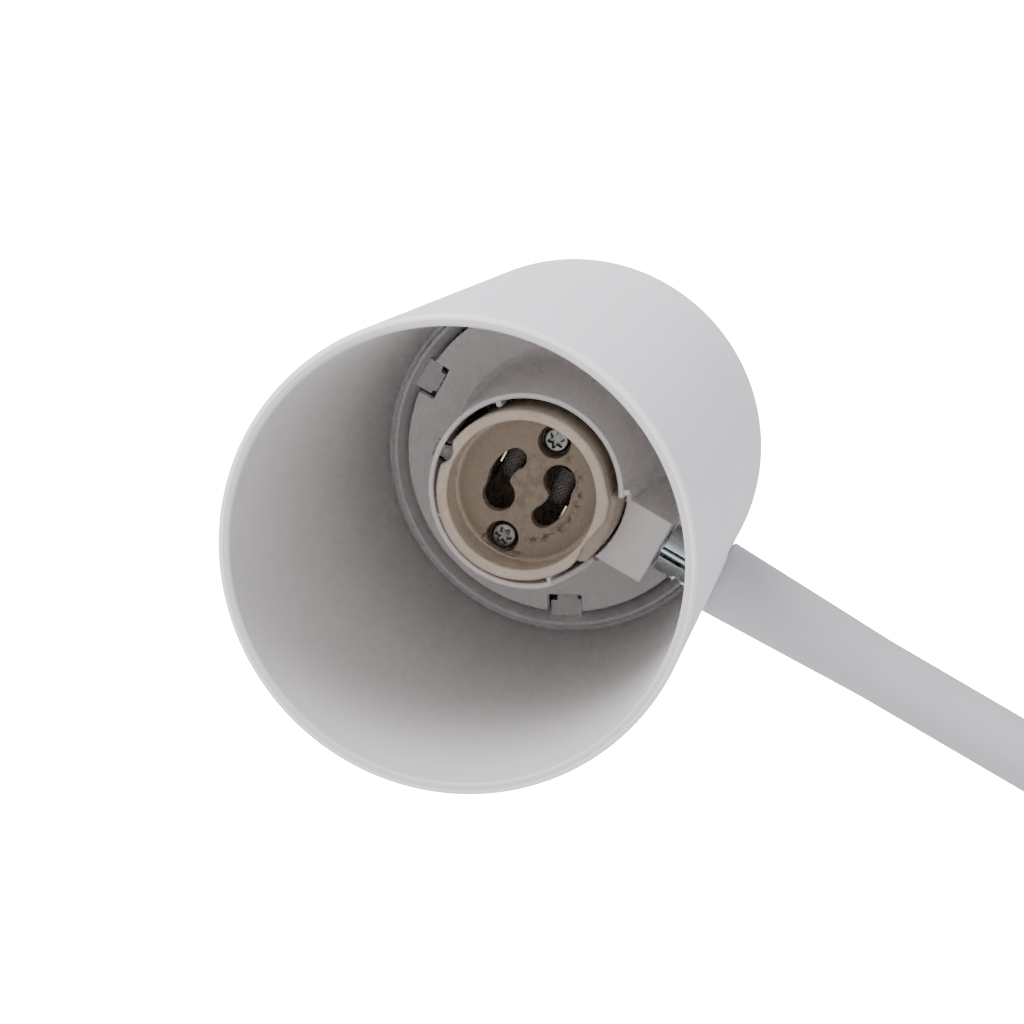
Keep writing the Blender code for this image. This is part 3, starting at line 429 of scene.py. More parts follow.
def braided(name):
    """Woven glass-fibre sleeve: two sets of strands cross at an angle. The chart runs round the sleeve and
    along it, one unit for each strand."""
    n = Nodes(name)
    chart = n.add("ShaderNodeSeparateXYZ", {0: n.place("UV")})
    strands = []
    for sign in (1, -1):
        slope = n.math("MULTIPLY_ADD", chart.outputs["Y"], float(sign))
        slope.node.inputs[2].default_value = 0.0
        lean = n.math("ADD", chart.outputs["X"], slope)
        strands.append(n.math("ABSOLUTE", n.math("SINE", n.math("MULTIPLY", lean, np.pi))))
    weave = n.math("MAXIMUM", *strands)
    fibre = n.noise(n.place(), 6000, 3)
    cover = n.mix(weave, (0.012, 0.010, 0.010), (0.085, 0.070, 0.065))
    cover = n.mix(n.span(fibre, 0.45, 0.7, 0, 0.6), cover, (0.17, 0.145, 0.13))
    return n.surface(Base_Color=cover, Roughness=0.75, Normal=n.bump(weave, 0.00025, 0.9))


def plain(name, colour, roughness, metallic=0.0, grain=2500, depth=0.00003):
    """Single-stuff finish with a fine uneven grain in its colour and gloss."""
    n = Nodes(name)
    spot = n.place()
    field = n.noise(spot, grain, 4, 0.6)
    shade = n.mix(n.span(field, 0.3, 0.7, 0, 1), scaled(colour, 0.85), scaled(colour, 1.1))
    gloss = n.span(field, 0.3, 0.7, roughness - 0.06, roughness + 0.06)
    return n.surface(Base_Color=shade, Metallic=metallic, Roughness=gloss, Normal=n.bump(field, depth, 0.5))


SHADE_WHITE = moulded("shade_white", (0.90, 0.88, 0.945), 0.44, 0.05)
# inner finish of the shade: darker and warmer than the outside, a painted shadow for the inside of the cup; its
# duller gloss is the moulding's own
SHADE_INSIDE_SHADOWED = moulded("shade_inside_shadowed", (0.65, 0.63, 0.625), 0.5, 0.03)
CARRIER_WHITE = moulded("carrier_white", (0.80, 0.76, 0.75), 0.52, 0.04)
# the arms' grey-white enamel, set a little darker again for the shadow the shade throws on the arm near the head:
# partly painted shadow
TUBE_ENAMEL_WITH_SHADOW = enamelled("tube_white", (0.47, 0.465, 0.50))
ZINC = zinc_plated("zinc_plate", (0.60, 0.69, 0.735), 0.22)
# very dark steel for the holder's screws, which sit in wells: the darkness is partly painted shade of those wells
STEEL_SHADOWED = zinc_plated("screw_steel_shadowed", (0.17, 0.175, 0.165), 0.30)
STEATITE = ceramic("steatite")
BRAID = braided("braided_sleeve")
BRONZE = plain("contact_bronze", (0.72, 0.60, 0.42), 0.25, 1.0, 3000, 0.00001)
IRON = plain("iron_core", (0.05, 0.05, 0.05), 0.65, 0.0, 900, 0.0002)
RUBBER = plain("black_rubber", (0.025, 0.025, 0.025), 0.75, 0.0, 1800, 0.00006)
NYLON = plain("nylon", (0.62, 0.60, 0.55), 0.45)


# ---------------------------------------------------------------- shade
def side(depth):
    """Outer radius of the shade at a depth."""
    return RIM + (BACK - RIM) * depth / LENGTH


def shade_shells():
    """The shade's wall: its closed profile carried round, with columns spread so that two of them run along
    the slot's sides, y = half width, in every row. The slot's faces are left out and its four walls are put
    in."""
    front, back = -SLOT_FRONT, -SLOT_BACK
    profile = rounded([(0, -LENGTH, 0), (BACK, -LENGTH, 4.2), (RIM, 0, 0.8), (RIM - WALL, 0, 0.5),
                       (side(LEDGE) - WALL, -LEDGE, 0), (28.3, -LEDGE, 0), (28.1, -79.3, 0.15),
                       (LEDGE_LIP, -79.4, 0.2), (25.95, -82.2, 0.1), (26.0, -INNER_BACK, 1.5),
                       (0, -INNER_BACK, 0)], 7)
    profile = split(profile, (front, back, -10, -20, -30, -40, -48, -65, -72))
    radius, height = profile[:, :1], profile[:, 1:]
    half = np.arcsin(SLOT_HALF / np.maximum(radius, 26.0))
    inner = np.linspace(-1, 1, SLOT_COLUMNS + 1)[None]
    outer = np.linspace(0, 1, 147)[None, 1:-1]
    angle = np.concatenate([inner * half, half + outer * (2 * np.pi - 2 * half)], 1)
    points = carried_round(radius, angle, height)
    places, faces = shell(points, True)
    rows, columns = points.shape[:2]
    middle = (height[:-1, 0] + height[1:, 0]) / 2
    cut = (middle < front) & (middle > back)
    keep = ~(cut[:, None] & (np.arange(columns) < SLOT_COLUMNS)[None])
    faces = [face for face, kept in zip(faces, keep.ravel()) if kept]
    inside = np.flatnonzero((height[:, 0] <= front + 1e-6) & (height[:, 0] >= back - 1e-6))
    gap = np.flatnonzero(np.diff(inside) > 1)[0] + 1
    wall, lining = inside[:gap], inside[gap:]
    shells = [(places, faces)]
    for column in (0, SLOT_COLUMNS):
        shells.append(patch(points[np.concatenate([wall, lining]), column]))
    across = slice(SLOT_COLUMNS + 1)
    shells.append(shell(points[[wall[-1], lining[0]], across]))
    shells.append(shell(points[[wall[0], lining[-1]], across]))
    return shells


def stop_shells():
    """Insert that closes the slot behind the arm: its profile carried over the slot's width, just under the
    shade's own face, with a rounded edge towards the arm."""
    front, back = STOP_FRONT, SLOT_BACK - 0.3
    inner = side(front) - WALL
    profile = rounded([(side(front) - STOP_SUNK, -front, 0.35), (side(back) - STOP_SUNK, -back, 0.3),
                       (LEDGE_LIP, -back, 0), (LEDGE_LIP, -STOP_FOOT, 0), (inner, -STOP_FOOT, 0),
                       (inner, -front, 0.2)], 4, True)
    half = np.arcsin((SLOT_HALF - 0.3) / profile[:, :1])
    angle = half * np.linspace(-1, 1, 17)[None]
    points = carried_round(profile[:, :1], angle, profile[:, 1:])
    return [shell(points, along=True), patch(points[:, 0]), patch(points[:, -1])]


def catch_shells(degrees):
    """Snap catch of the shade in a notch of the plate, with relieved corners towards the middle."""
    outline = rounded([(26.7, -2.55, 0), (26.7, 2.55, 0), (23.8, 2.55, 0.2), (23.8, 1.9, 0.1),
                       (23.15, 1.9, 0.15), (23.15, -1.5, 0.15), (24.1, -1.5, 0.1), (24.1, -2.55, 0.2)],
                      3, True)
    return turned_by(slab(outline, -84.0, -80.5, 0.15), degrees)


def paint_shadow_inside(shade):
    """Gives the shade's faces nearer the axis than the middle of its wall a second moulded finish, darker, warmer
    and duller: the darker colour is painted shadow for the inside of the cup.
    """
    mesh = shade.data
    mesh.materials.append(SHADE_INSIDE_SHADOWED)
    centre = np.zeros(3 * len(mesh.polygons))
    mesh.polygons.foreach_get("center", centre)
    own = (centre.reshape(-1, 3) - SHADE[0]) @ SHADE[1].T * 1000
    inside = (np.hypot(own[:, 0], own[:, 1]) < side(-own[:, 2]) - WALL * 0.6) & (own[:, 2] > 0.5 - LENGTH)
    mesh.polygons.foreach_set("material_index", inside.astype(np.int32))


# ---------------------------------------------------------------- carrier
def plate_outline():
    """Disc with three square notches in its edge, anticlockwise."""
    reach = np.sqrt(PLATE ** 2 - NOTCH_HALF ** 2)
    half = np.degrees(np.arcsin(NOTCH_HALF / PLATE))
    corners = []
    for start, end in ((-61, 59), (59, 180), (180, 299)):
        c, s = np.cos(np.radians(start)), np.sin(np.radians(start))
        for x, y, r in ((reach, -NOTCH_HALF, 0.2), (NOTCH_FOOT, -NOTCH_HALF, 0.3),
                        (NOTCH_FOOT, NOTCH_HALF, 0.3), (reach, NOTCH_HALF, 0.2)):
            corners.append((x * c - y * s, x * s + y * c, r))
        for angle in np.radians(np.arange(start + half + 2, end - half - 1, 2.5)):
            corners.append((PLATE * np.cos(angle), PLATE * np.sin(angle), 0))
    return rounded(corners, 3, True)


def collar_shells():
    """Thin collar round the lampholder: its profile carried from one side of the box round to the other; the
    front edge stands at the box's level beside it, steps up at once and drops again over the last part."""
    degrees = np.concatenate([[19, 22, 26.8], np.linspace(27, 337, 240)])
    angle = np.radians(degrees)
    drop = np.where(degrees < 27, 1.0, np.clip((degrees - 312) / 25, 0, 1))
    front = -COLLAR_FRONT - (BOX_FRONT - COLLAR_FRONT) * drop
    turn = np.linspace(0, np.pi / 2, 4)
    edge = 0.3
    radius = np.concatenate([[COLLAR_IN], COLLAR_IN + edge * (1 - np.cos(turn)),
                             COLLAR_OUT - edge * (1 - np.sin(turn)),
                             [COLLAR_OUT + 0.65, 16.4, 16.7, 17.3, 18.3]])
    fall = np.concatenate([[np.nan], edge * (1 - np.sin(turn)), edge * (1 - np.cos(turn)), [np.nan] * 5])
    fixed = np.array([-PLATE_MIDDLE] + [0] * 8 + [-72.0, -75.5, -77.2, -78.4, -79.3])
    height = np.where(np.isnan(fall)[:, None], fixed[:, None], front - np.nan_to_num(fall)[:, None])
    points = carried_round(radius[:, None], angle, height)
    return [shell(points, along=True), patch(points[:, 0]), patch(points[:, -1])]


def collar_rib(degrees, inner, outer, width, front, back):
    """Small upright rib on the collar, rounded."""
    half = width / 2
    soft = half * 0.6
    outline = rounded([(outer, -half, soft), (outer, half, soft), (inner, half, soft), (inner, -half, soft)],
                      3, True)
    return turned_by(slab(outline, -back, -front, min(0.2, soft)), degrees)


def hinge_box():
    """Hollow box between the collar and the arm's hinge, its inner face hollowed to the lampholder."""
    sweep = np.arcsin(BOX_HALF / BOX_HOLLOW)
    arc = [(BOX_HOLLOW * np.cos(a), BOX_HOLLOW * np.sin(a), 0) for a in np.linspace(sweep, -sweep, 22)]
    outline = rounded([(BOX_END, -BOX_HALF, 0.4), (BOX_END, BOX_HALF, 0.4), *arc], 4, True)
    return slab(outline, -PLATE_MIDDLE, -BOX_FRONT, 0.28)


def cross_bar():
    """Bar behind the lampholder that its two screws pull against."""
    outline = np.array([(BAR_HALF, -BAR_END), (BAR_HALF, BAR_END),
                        (-BAR_HALF, BAR_END), (-BAR_HALF, -BAR_END)])
    return slab(outline, -BAR_BACK, -BAR_FRONT, 0.2)


def carrier_shells():
    """Plate, collar, box, cross bar and the collar's small ribs."""
    shells = slab(plate_outline(), -PLATE_BACK, -PLATE_FRONT, 0.25, [circle(COLLAR_IN, 96, clockwise=True)])
    shells += collar_shells() + hinge_box() + cross_bar()
    shells += collar_rib(30, 15.4, 16.5, 0.9, 49.6, 57.0)
    for degrees, depth, width in ((136, 0.9, 0.9), (-176, 1.0, 2.4), (-134, 0.7, 0.6), (-47, 0.8, 0.7)):
        shells += collar_rib(degrees, COLLAR_IN - depth, COLLAR_IN + 0.4, width, 49.8, 56.5)
    return shells


# ---------------------------------------------------------------- lampholder
def holder_outline(angle):
    """Radius of the holder's front flange at an angle: straight between the sizes listed for clockwise
    angles, which make it round with a notch and a flat beside the ear."""
    degrees = (-np.degrees(angle) + 180) % 360 - 180
    at = [-180, -178, -173.5, -172, -34, -27, -14, -6, 3, 11, 20, 27, 170.5, 173, 177, 180]
    size = [12.47, 12.55, 13.3, 13.5, 13.5, 13.85, 13.7, 13.05, 12.5, 12.5, 13.2, 13.5, 13.5, 12.9, 12.45,
            12.47]
    return np.interp(degrees, at, size)


def flange_shells():
    """Front flange and cup wall: rows either follow the outline or keep a radius of their own."""
    angle = 2 * np.pi * np.arange(240) / 240
    outline = holder_outline(angle)
    turn = np.linspace(0, np.pi / 2, 5)
    rows = [(0, 11.9, -51.5), (1, -0.3, -51.5)]
    rows += [(1, -0.45 * (1 - np.cos(t)), -HOLDER_FRONT - 0.45 * (1 - np.sin(t))) for t in turn]
    rows += [(0, CUP + 0.4 * (1 - np.sin(t)), -HOLDER_FRONT - 0.4 * (1 - np.cos(t))) for t in turn]
    rows += [(0, CUP - 0.12, -FLOOR + 0.3)]
    rows += [(0, CUP - 0.14 - 0.3 * (1 - np.cos(t)), -FLOOR + 0.3 - 0.3 * np.sin(t)) for t in turn]
    rows += [(0, CUP - 0.42, -FLOOR - 1.5)]
    rows = np.array(rows)
    radius = rows[:, :1] * outline + rows[:, 1:2]
    points = carried_round(radius, angle, rows[:, 2:])
    return [shell(points, True, True)]


def keyhole(start):
    """Outline of a pin slot, clockwise: a wide round end, then a narrower arc about the holder's axis that
    ends in a half circle."""
    turn = np.radians(80)

    def meets(ring):
        """Angle at which the wide end's circle crosses a ring about the axis."""
        return np.arccos((PIN_CIRCLE ** 2 + ring ** 2 - PIN_WIDE ** 2) / (2 * PIN_CIRCLE * ring))

    outer, inner = PIN_CIRCLE + PIN_NARROW, PIN_CIRCLE - PIN_NARROW
    wide = PIN_CIRCLE * np.array([np.cos(start), np.sin(start)])
    narrow = PIN_CIRCLE * np.array([np.cos(start - turn), np.sin(start - turn)])
    far = np.linspace(start - meets(outer) - 0.05, start - turn, 16)
    near = np.linspace(start - turn, start - meets(inner) - 0.09, 10)
    cap = np.linspace(start - turn, start - turn - np.pi, 14)[1:-1]
    first = outer * np.array([np.cos(start - meets(outer)), np.sin(start - meets(outer))]) - wide
    last = inner * np.array([np.cos(start - meets(inner)), np.sin(start - meets(inner))]) - wide
    a, b = np.arctan2(last[1], last[0]), np.arctan2(first[1], first[0])
    bow = np.linspace(a, a - (a - b) % (2 * np.pi), 30)[1:-1]
    return np.concatenate([np.column_stack([outer * np.cos(far), outer * np.sin(far)]),
                           narrow + PIN_NARROW * np.column_stack([np.cos(cap), np.sin(cap)]),
                           np.column_stack([inner * np.cos(near), inner * np.sin(near)]),
                           wide + PIN_WIDE * np.column_stack([np.cos(bow), np.sin(bow)])])


def channel_outline():
    """Opening of the lower screw's well and its channel out to the cup's wall, clockwise."""
    arc = np.radians(np.linspace(205, -25, 26))
    well = np.column_stack([WELL * np.cos(arc), LOWER_WELL + WELL * np.sin(arc)])
    channel = [(3.7, -9.75), (3.4, -10.9), (1.6, -11.3), (-1.4, -11.3), (-2.75, -11.0), (-2.75, -10.1)]
    return np.concatenate([well, channel])


def well_shells(middle):
    """Round well of a screw: a cup with a thin wall."""
    profile = [(0, -WELL_FLOOR - 1.0), (WELL + 0.8, -WELL_FLOOR - 1.0), (WELL + 0.8, -FLOOR - 1.2),
               (WELL, -FLOOR - 1.2), (WELL, -WELL_FLOOR), (0, -WELL_FLOOR)]
    points, faces = turned(profile, 48)
    return [(points + (*middle, 0), faces)]


def ear_shells():
    """Ear on the holder's side, under the box: a wedge whose front slopes outwards to a constant radius, and
    past the flange's flat lies lower by a smooth step."""
    degrees = np.linspace(-24, 30, 40)[None]
    angle = np.radians(degrees)
    ends = np.clip(np.minimum(degrees + 24, 30 - degrees) / 5, 0, 1)
    outer = 13.2 + 1.2 * np.sqrt(ends)
    lower = np.clip((2 - degrees) / 5, 0, 1)
    lower = 1.1 * lower * lower * (3 - 2 * lower)
    reach = np.array([0, 0.15, 0.55, 0.9, 1.0, 1.0, 0])[:, None]
    radius = 12.2 + (outer - 12.2) * reach
    height = np.array([-46.6, -46.8, -47.9, -49.0, -49.7, -60.0, -60.0])[:, None]
    height = height - lower * np.array([1, 1, 0.6, 0.2, 0, 0, 0])[:, None]
    points = carried_round(radius, angle, height)
    return [shell(points, along=True), patch(points[:, 0]), patch(points[:, -1])]


def holder_shells():
    """The lampholder's body, flange, floor with its openings, sunk channel, wells and ear."""
    low = -FLOOR - 2.2
    holes = [keyhole(np.radians(-137)), keyhole(np.radians(43)), circle(WELL, 40, (0, UPPER_WELL), True),
             channel_outline()]
    shells = flange_shells() + slab(circle(11.6, 120), low, -FLOOR, 0.22, holes)
    dip = rounded([(4.2, -12.2, 0.5), (4.2, -5.9, 0.5), (-3.6, -5.9, 0.5), (-3.6, -12.2, 0.5)], 3, True)
    shells += slab(dip, low, -FLOOR - 0.9, 0.1, [circle(WELL, 40, (0, LOWER_WELL), True)])
    shells += well_shells((0, UPPER_WELL)) + well_shells((0, LOWER_WELL)) + ear_shells()
    body = rounded([(12.3, -50.0, 0), (13.3, -50.0, 0.2), (13.3, -68.2, 0.4), (12.3, -68.2, 0)], 3)
    return shells + [turned(body, 120, True)]


def screw_shells(head, top, seat, shaft, tip, deep, lobes=6, reach=0.62):
    """Pan head screw along Z: the head's crown is flat with a rounded edge, and its recess is a star whose
    radius is reach (0.86 + 0.2 cos(lobes a)) of the head's."""
    sides = 96
    angle = 2 * np.pi * np.arange(sides) / sides
    star = head * reach * (0.86 + 0.2 * np.cos(lobes * angle))
    rows = [(0.0, 0.0, -deep), (0.55, 0.0, -deep), (0.9, 0.0, -deep * 0.9), (1.0, 0.0, -deep * 0.15),
            (1.05, 0.0, 0.0)]
    radius = [a * star for a, _, _ in rows]
    height = [top + c for _, _, c in rows]
    edge = min(0.55, top - seat)
    for t in np.linspace(0, np.pi / 2, 5):
        radius.append(np.maximum(head - edge * (1 - np.sin(t)), star * 1.06))
        height.append(top - edge * (1 - np.cos(t)))
    for r, z in ((head, seat), (shaft, seat), (shaft, tip), (0.0, tip)):
        radius.append(np.full(sides, r))
        height.append(z)
    radius, height = np.array(radius), np.array(height)[:, None]
    points = carried_round(radius, angle, height)
    return [shell(points, True)]


def moved(shells, x, y, z):
    """The shells moved."""
    return [(points + (x, y, z), faces) for points, faces in shells]


def sleeve(side_sign):
    """Lead's sleeve: across under its slot, then a quarter turn to the back. Its points, and its chart."""
    x, radius = side_sign * 4.2, 1.7
    high, bend = -FLOOR - 1.6 - 0.6 - radius, 2.4
    turn = np.linspace(0, np.pi / 2, 12)
    curve = [(x, bend - bend * np.sin(t), high - bend + bend * np.cos(t)) for t in turn]
    path = np.array([(x, 4.9, high - 0.1), (x, 3.5, high), *curve, (x, 0, -70.0), (x, 0, -82.9)])
    points = tube(path, radius, 32)
    length = np.concatenate([[0], np.cumsum(np.linalg.norm(np.diff(path, axis=0), axis=1))])
    chart = np.stack(np.broadcast_arrays(np.linspace(0, 14, 33)[None], length[:, None] / 0.55), -1)
    return points, chart


def contact(side_sign):
    """Spring contact: a thin strip with a step towards the pin's place."""
    x, step = side_sign * 6.6, side_sign * -0.5
    front = -54.7 if side_sign < 0 else -57.0
    line = rounded([(0.0, -66.9, 0), (0.0, -59.5, 0.8), (step, -58.3, 0.8), (step, front, 0)], 5)
    strip = np.column_stack([x + line[:, 0], line[:, 1]])
    normal = np.gradient(strip, axis=0)
    normal = np.stack([-normal[:, 1], normal[:, 0]], -1) / np.linalg.norm(normal, axis=1)[:, None]
    loop = np.concatenate([strip + 0.13 * normal, (strip - 0.13 * normal)[::-1]])
    tip = loop[:, 1] > -58.6
    width = np.stack([np.where(tip, 0.8, -3.4), np.where(tip, 3.2, 3.4)]) * -side_sign
    points = np.stack([loop[:, 0] + 0 * width, width + 0 * loop[:, 0], loop[:, 1] + 0 * width], -1)
    return [shell(points, True), patch(points[0]), patch(points[1])]


# ---------------------------------------------------------------- hinges
def cheek_shells(hinge, square):
    """Fork's cheek on the +Y side, worked out about the pivot in directions a. Its outer face is the bar's,
    y = sqrt(bar^2 - x^2), down to a round seat for the screw; its edge is the nearest of the bar's sides, the
    slot's bottom and the end, which is round about the pivot or, on the +X side of a square fork, flat."""
    bar, end, foot, near = hinge["bar"], hinge["end"], hinge["deep"] + 0.15, hinge["slot"] / 2
    wide = np.sqrt(bar ** 2 - near ** 2) - 0.01
    corner = [np.arctan2(-foot, wide), np.arctan2(-foot, -wide), np.arctan2(end, wide),
              np.arctan2(np.sqrt(max(end ** 2 - wide ** 2, 0.01)), -wide)]
    angle = np.unique(np.concatenate([np.linspace(-np.pi, np.pi, 161)[:-1], corner]))
    across, along = np.cos(angle), np.sin(angle)
    small = 1e-9
    reach = np.minimum(wide / np.maximum(np.abs(across), small), foot / np.maximum(-along, small))
    flat = end / np.maximum(along, small)
    limit = np.where((across > 0) & square, flat, np.where(along > 0, end, 99.0))
    reach = np.minimum(reach, limit)
    bore, seat = hinge["screw"] + 0.4, hinge["head"] + 0.4
    share = 1 - (1 - np.linspace(0, 1, 26)) ** 2
    face = seat + (reach - seat)[None] * share[:, None]
    face_y = np.sqrt(np.maximum(bar ** 2 - (face * across) ** 2, near ** 2))
    edge = np.maximum(0.0, np.minimum(0.12, (face_y[-1] - near) / 2))
    radius = [np.full(len(angle), bore), reach - edge, reach, *face[::-1][1:], np.full(len(angle), seat),
              np.full(len(angle), bore)]
    height = [np.full(len(angle), near), np.full(len(angle), near), near + edge, *face_y[::-1][1:],
              np.full(len(angle), hinge["seat"]), np.full(len(angle), hinge["seat"])]
    radius.insert(3, reach)
    height.insert(3, face_y[-1])
    radius, height = np.array(radius), np.array(height)
    return [shell(np.stack([radius * across, height, radius * along], -1), True, True)]


def fork_shells(hinge, below, square=False):
    """Fork along Z with its pivot at the middle: two cheeks, and below the slot the bar, turned to a
    profile."""
    cheek = cheek_shells(hinge, square)
    foot = -hinge["deep"]
    bar = turned([(0, foot), (hinge["bar"], foot), *below, (0, below[-1][1])], 96)
    return cheek + mirrored(cheek) + [bar]


def eye_shells(hinge, top):
    """Flat eye in the XZ plane about the pivot, up to its shoulder, with a bored middle."""
    r = hinge["eye"]
    arc = [(r * np.cos(a), r * np.sin(a)) for a in np.linspace(np.pi, 2 * np.pi, 30)]
    outline = np.array([(r, top), (-r, top), *arc[1:-1]])
    bore = circle(hinge["screw"] + 0.3, 32, clockwise=True)
    half = hinge["blade"] / 2
    return upright(slab(outline, -half, half, half * 0.9, [bore], 6))


def nut_shells(size, bore, low, high):
    """Hexagon nut between two heights, its six corners taken off by a cone: the height at a point of the
    hexagon falls by the part of its radius past 0.9 of the corner's."""
    sides, blunt = 72, size * 0.9
    angle = 2 * np.pi * np.arange(sides) / sides
    flats = size * np.cos(np.pi / 6) / np.cos((angle + np.pi / 6) % (np.pi / 3) - np.pi / 6)
    rows, heights = [], []
    for part, level in ((bore, low), (bore, high), (bore + 0.15, high)):
        rows.append(np.full(sides, part))
        heights.append(np.full(sides, level))
    chamfer = np.minimum(flats, blunt)
    rows += [chamfer, flats, flats, chamfer]
    fall = np.maximum(flats - blunt, 0) * 0.55
    heights += [np.full(sides, high), high - fall, low + fall, np.full(sides, low)]
    rows, heights = np.array(rows), np.array(heights)
    points = carried_round(rows, angle, heights)
    return [shell(points, True, True)]


def slotted_screw(hinge):
    """Cheese head screw along Y, its head on the -Y side, with a straight slot: the crown falls by the
    slot's depth where a point is nearer the middle line than half the slot's width."""
    head, top, seat, shaft = hinge["head"], hinge["bar"] - 0.3, hinge["seat"] + 0.3, hinge["screw"]
    body = turned(rounded([(0, top - 0.75, 0), (head - 0.02, top - 0.75, 0), (head, top - 0.75, 0),
                           (head, seat, 0), (shaft, seat, 0), (shaft, -top, 0.3), (0, -top, 0)], 3), 72)
    shells = [body]
    for sign in (1, -1):
        reach = np.arccos(0.42 / head)
        arc = np.linspace(-reach, reach, 30)
        outline = np.column_stack([head * np.sin(arc), sign * head * np.cos(arc)])
        outline = outline[::-sign]
        shells += slab(outline, top - 0.8, top, 0.18, steps=2)
    return upright(shells)


def nut_on_cheek(hinge):
    """Hexagon nut seated on the fork's +Y cheek."""
    bore, low, high = hinge["screw"] + 0.05, hinge["seat"] + 0.3, hinge["bar"] - 0.3
    return mirrored(upright(nut_shells(hinge["head"], bore, low, high)))


def tube_shells(start, end):
    """Arm tube along Z: flared over a length at both mouths, with rounded lips."""
    wall = 0.8
    outer = [(MOUTH, end, 0.3), (TUBE, end - FLARE, 60), (TUBE, start + FLARE, 60), (MOUTH, start, 0.3)]
    inner = [(MOUTH - wall, start, 0.3), (TUBE - wall, start + FLARE, 0), (TUBE - wall, end - FLARE, 0),
             (MOUTH - wall, end, 0.3)]
    return [turned(rounded(outer + inner, 6, True), 96, True)]


# ---------------------------------------------------------------- the lamp's pieces
catches = [part for degrees in NOTCH_ANGLES for part in catch_shells(degrees)]
spot_shade = build("spot_shade", shade_shells() + catches, SHADE, SHADE_WHITE, "head",
                   ["shade"], bevel=0.22)
# the shade's inner faces take the darker colour: painted shadow inside the cup
paint_shadow_inside(spot_shade)
build("lamp_carrier", carrier_shells(), SHADE, CARRIER_WHITE, "head", ["socket_carrier"],
      bevel=0.15)
build("steatite_holder", holder_shells(), SHADE, STEATITE, "head", ["lampholder_body"],
      uv=lambda p: p[:, :2] * 0.1)
for label, sign, spin in (("left", -1, 10), ("right", 1, 35)):
    spot_y = LOWER_WELL if sign < 0 else UPPER_WELL
    screw = moved(turned_by(screw_shells(**HOLDING_SCREW), spin), 0, spot_y, 0)
    build("holding_screw_" + label, screw, SHADE, STEEL_SHADOWED, "head", ["holder_screw_" + label])
    points, chart = sleeve(sign)
    ends = [patch(points[0, :-1]), patch(points[-1, :-1])]
    chart = np.concatenate([chart.reshape(-1, 2), np.zeros((2 * (points.shape[1] - 1), 2))])
    build("sleeved_lead_" + label, [shell(points), *ends], SHADE, BRAID, "head",
          ["wire_" + label], uv=chart)
    build("spring_contact_" + label, contact(sign), SHADE, BRONZE, "head",
          ["contact_" + label])

head_below = [(4.0, -4.7), (2.9, -4.7), (2.9, -20.4)]
arm_below = [(5.0, -8.7), (2.9, -8.7), (2.9, -22.2)]
build("hinge_fork_head", fork_shells(HEAD_HINGE, head_below, True), WRIST, ZINC, "wrist",
      ["head_fork"], crease=30)
build("hinge_screw_head", slotted_screw(HEAD_HINGE), WRIST, ZINC, "wrist", ["head_screw"])
build("hinge_nut_head", nut_on_cheek(HEAD_HINGE), WRIST, ZINC, "wrist", ["head_nut"])
stud = turned([(0, STUD_END), (2.3, STUD_END), (2.5, PIVOT_OUT - 17.2), (2.5, 4.25), (0, 4.25)], 48)
build("hinge_eye_head", eye_shells(HEAD_HINGE, 4.3) + [stud], place(HEAD[0], -HEAD[1][0], HEAD[1][1]), ZINC,
      "head", ["head_blade"], crease=30)
build("slot_insert", stop_shells(), SHADE, SHADE_WHITE, "head", ["slot_stop"])
elbow_fork_spot = shifted(SHOULDER, 0, 0, ARM)
for joint, spot, screw_body, eye_spot, eye_body in (
        ("shoulder", TURRET, "turret", SHOULDER, "lower_arm"),
        ("elbow", elbow_fork_spot, "lower_arm", ELBOW, "upper_arm")):
    build("hinge_screw_" + joint, slotted_screw(ARM_HINGE), spot, ZINC, screw_body,
          [joint + "_screw"])
    build("hinge_nut_" + joint, nut_on_cheek(ARM_HINGE), spot, ZINC, screw_body,
          [joint + "_nut"])
    shoulder = turned(rounded([(0, 6.4, 0), (5.0, 6.4, 0.3), (5.0, 8.7, 0.2), (2.9, 8.7, 0), (2.9, 22.2, 0.2),
                               (0, 22.2, 0)], 3), 96)
    build("hinge_eye_" + joint, eye_shells(ARM_HINGE, 6.5) + [shoulder], eye_spot, ZINC, eye_body,
          [joint + "_blade"], crease=30)
build("hinge_fork_elbow", fork_shells(ARM_HINGE, arm_below), elbow_fork_spot, ZINC, "lower_arm",
      ["elbow_fork"], crease=30)
build("upper_tube", tube_shells(9.0, ARM - 5.0), ELBOW, TUBE_ENAMEL_WITH_SHADOW, "upper_arm",
      ["upper_arm_tube"])
build("lower_tube", tube_shells(9.0, ARM - 9.0), SHOULDER, TUBE_ENAMEL_WITH_SHADOW, "lower_arm",
      ["lower_arm_tube"])

LOOKS = {"moulded_white": CARRIER_WHITE, "shade_white": SHADE_WHITE, "tube_white": TUBE_ENAMEL_WITH_SHADOW,
         "zinc_plate": ZINC, "steatite": STEATITE, "iron_core": IRON, "black_rubber": RUBBER,
         "nylon": NYLON, "braided_sleeve": BRAID, "contact_bronze": BRONZE}
for entry in frame["record"]["subparts"]:
    node = frame["nodes"][entry["node"]]
    node.data.materials.clear()
    node.data.materials.append(LOOKS[entry["material_slot"]])

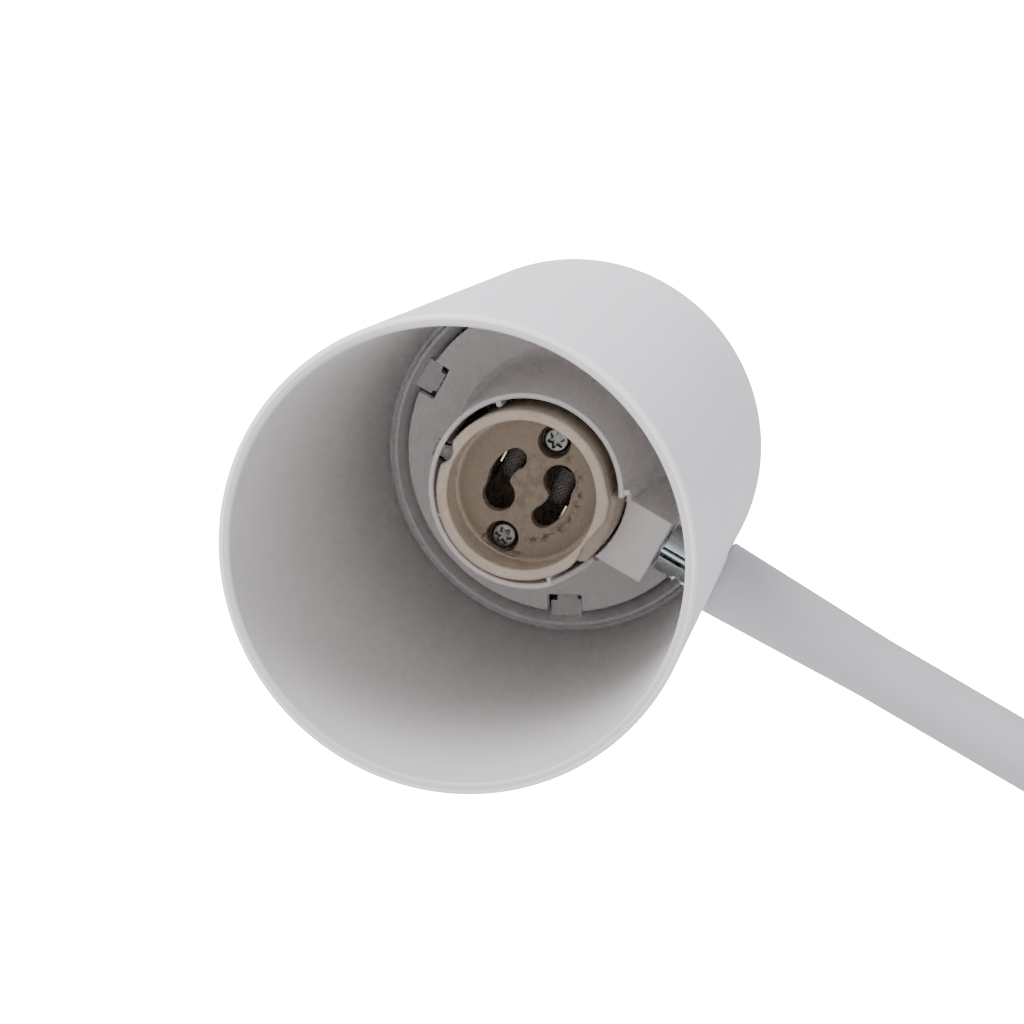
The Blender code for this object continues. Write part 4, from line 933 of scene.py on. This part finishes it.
# ---------------------------------------------------------------- studio
floor_mesh = bpy.data.meshes.new("studio_floor")
floor_mesh.from_pydata([(-6, -6, 0), (6, -6, 0), (6, 6, 0), (-6, 6, 0)], [], [(0, 1, 2, 3)])
floor = bpy.data.objects.new("studio_floor", floor_mesh)
bpy.context.scene.collection.objects.link(floor)
floor_mesh.materials.append(Nodes("floor_white").surface(Base_Color=(0.9, 0.9, 0.9, 1), Roughness=0.8))

world = bpy.data.worlds.new("studio")
world.use_nodes = True
tree = world.node_tree
glow = tree.nodes["Background"]
glow.inputs["Color"].default_value = (0.985, 0.98, 1.0, 1)
glow.inputs["Strength"].default_value = 1.06
backdrop = tree.nodes.new("ShaderNodeBackground")
backdrop.inputs["Strength"].default_value = 40.0
seen = tree.nodes.new("ShaderNodeLightPath")
choose = tree.nodes.new("ShaderNodeMixShader")
tree.links.new(seen.outputs["Is Camera Ray"], choose.inputs[0])
tree.links.new(glow.outputs[0], choose.inputs[1])
tree.links.new(backdrop.outputs[0], choose.inputs[2])
tree.links.new(choose.outputs[0], tree.nodes["World Output"].inputs["Surface"])
bpy.context.scene.world = world


def soft_light(name, spot, aim, size, power):
    """Square area light at a spot, turned to its aim."""
    lamp = bpy.data.lights.new(name, "AREA")
    lamp.size = size
    lamp.energy = power
    holder = bpy.data.objects.new(name, lamp)
    holder.location = spot
    holder.rotation_euler = (Vector(spot) - Vector(aim)).to_track_quat("Z", "Y").to_euler()
    bpy.context.scene.collection.objects.link(holder)


rim_middle = SHADE[0]
soft_light("key", rim_middle + (-0.55, -0.75, 1.0), rim_middle, size=0.7, power=26)

camera = bpy.data.cameras.new("camera")
camera.sensor_width = 36
camera.lens = 169.5
eye = bpy.data.objects.new("camera", camera)
lift = np.radians(9.6)
distance, to_right, upwards = 0.700, 0.00833, 0.00656
look_along = np.array([0, np.cos(lift), np.sin(lift)])
look_up = np.array([0, -np.sin(lift), np.cos(lift)])
eye.location = rim_middle + np.array([to_right, 0, 0]) - distance * look_along + upwards * look_up
eye.rotation_euler = (np.pi / 2 + lift, 0, 0)
bpy.context.scene.collection.objects.link(eye)
bpy.context.scene.camera = eye
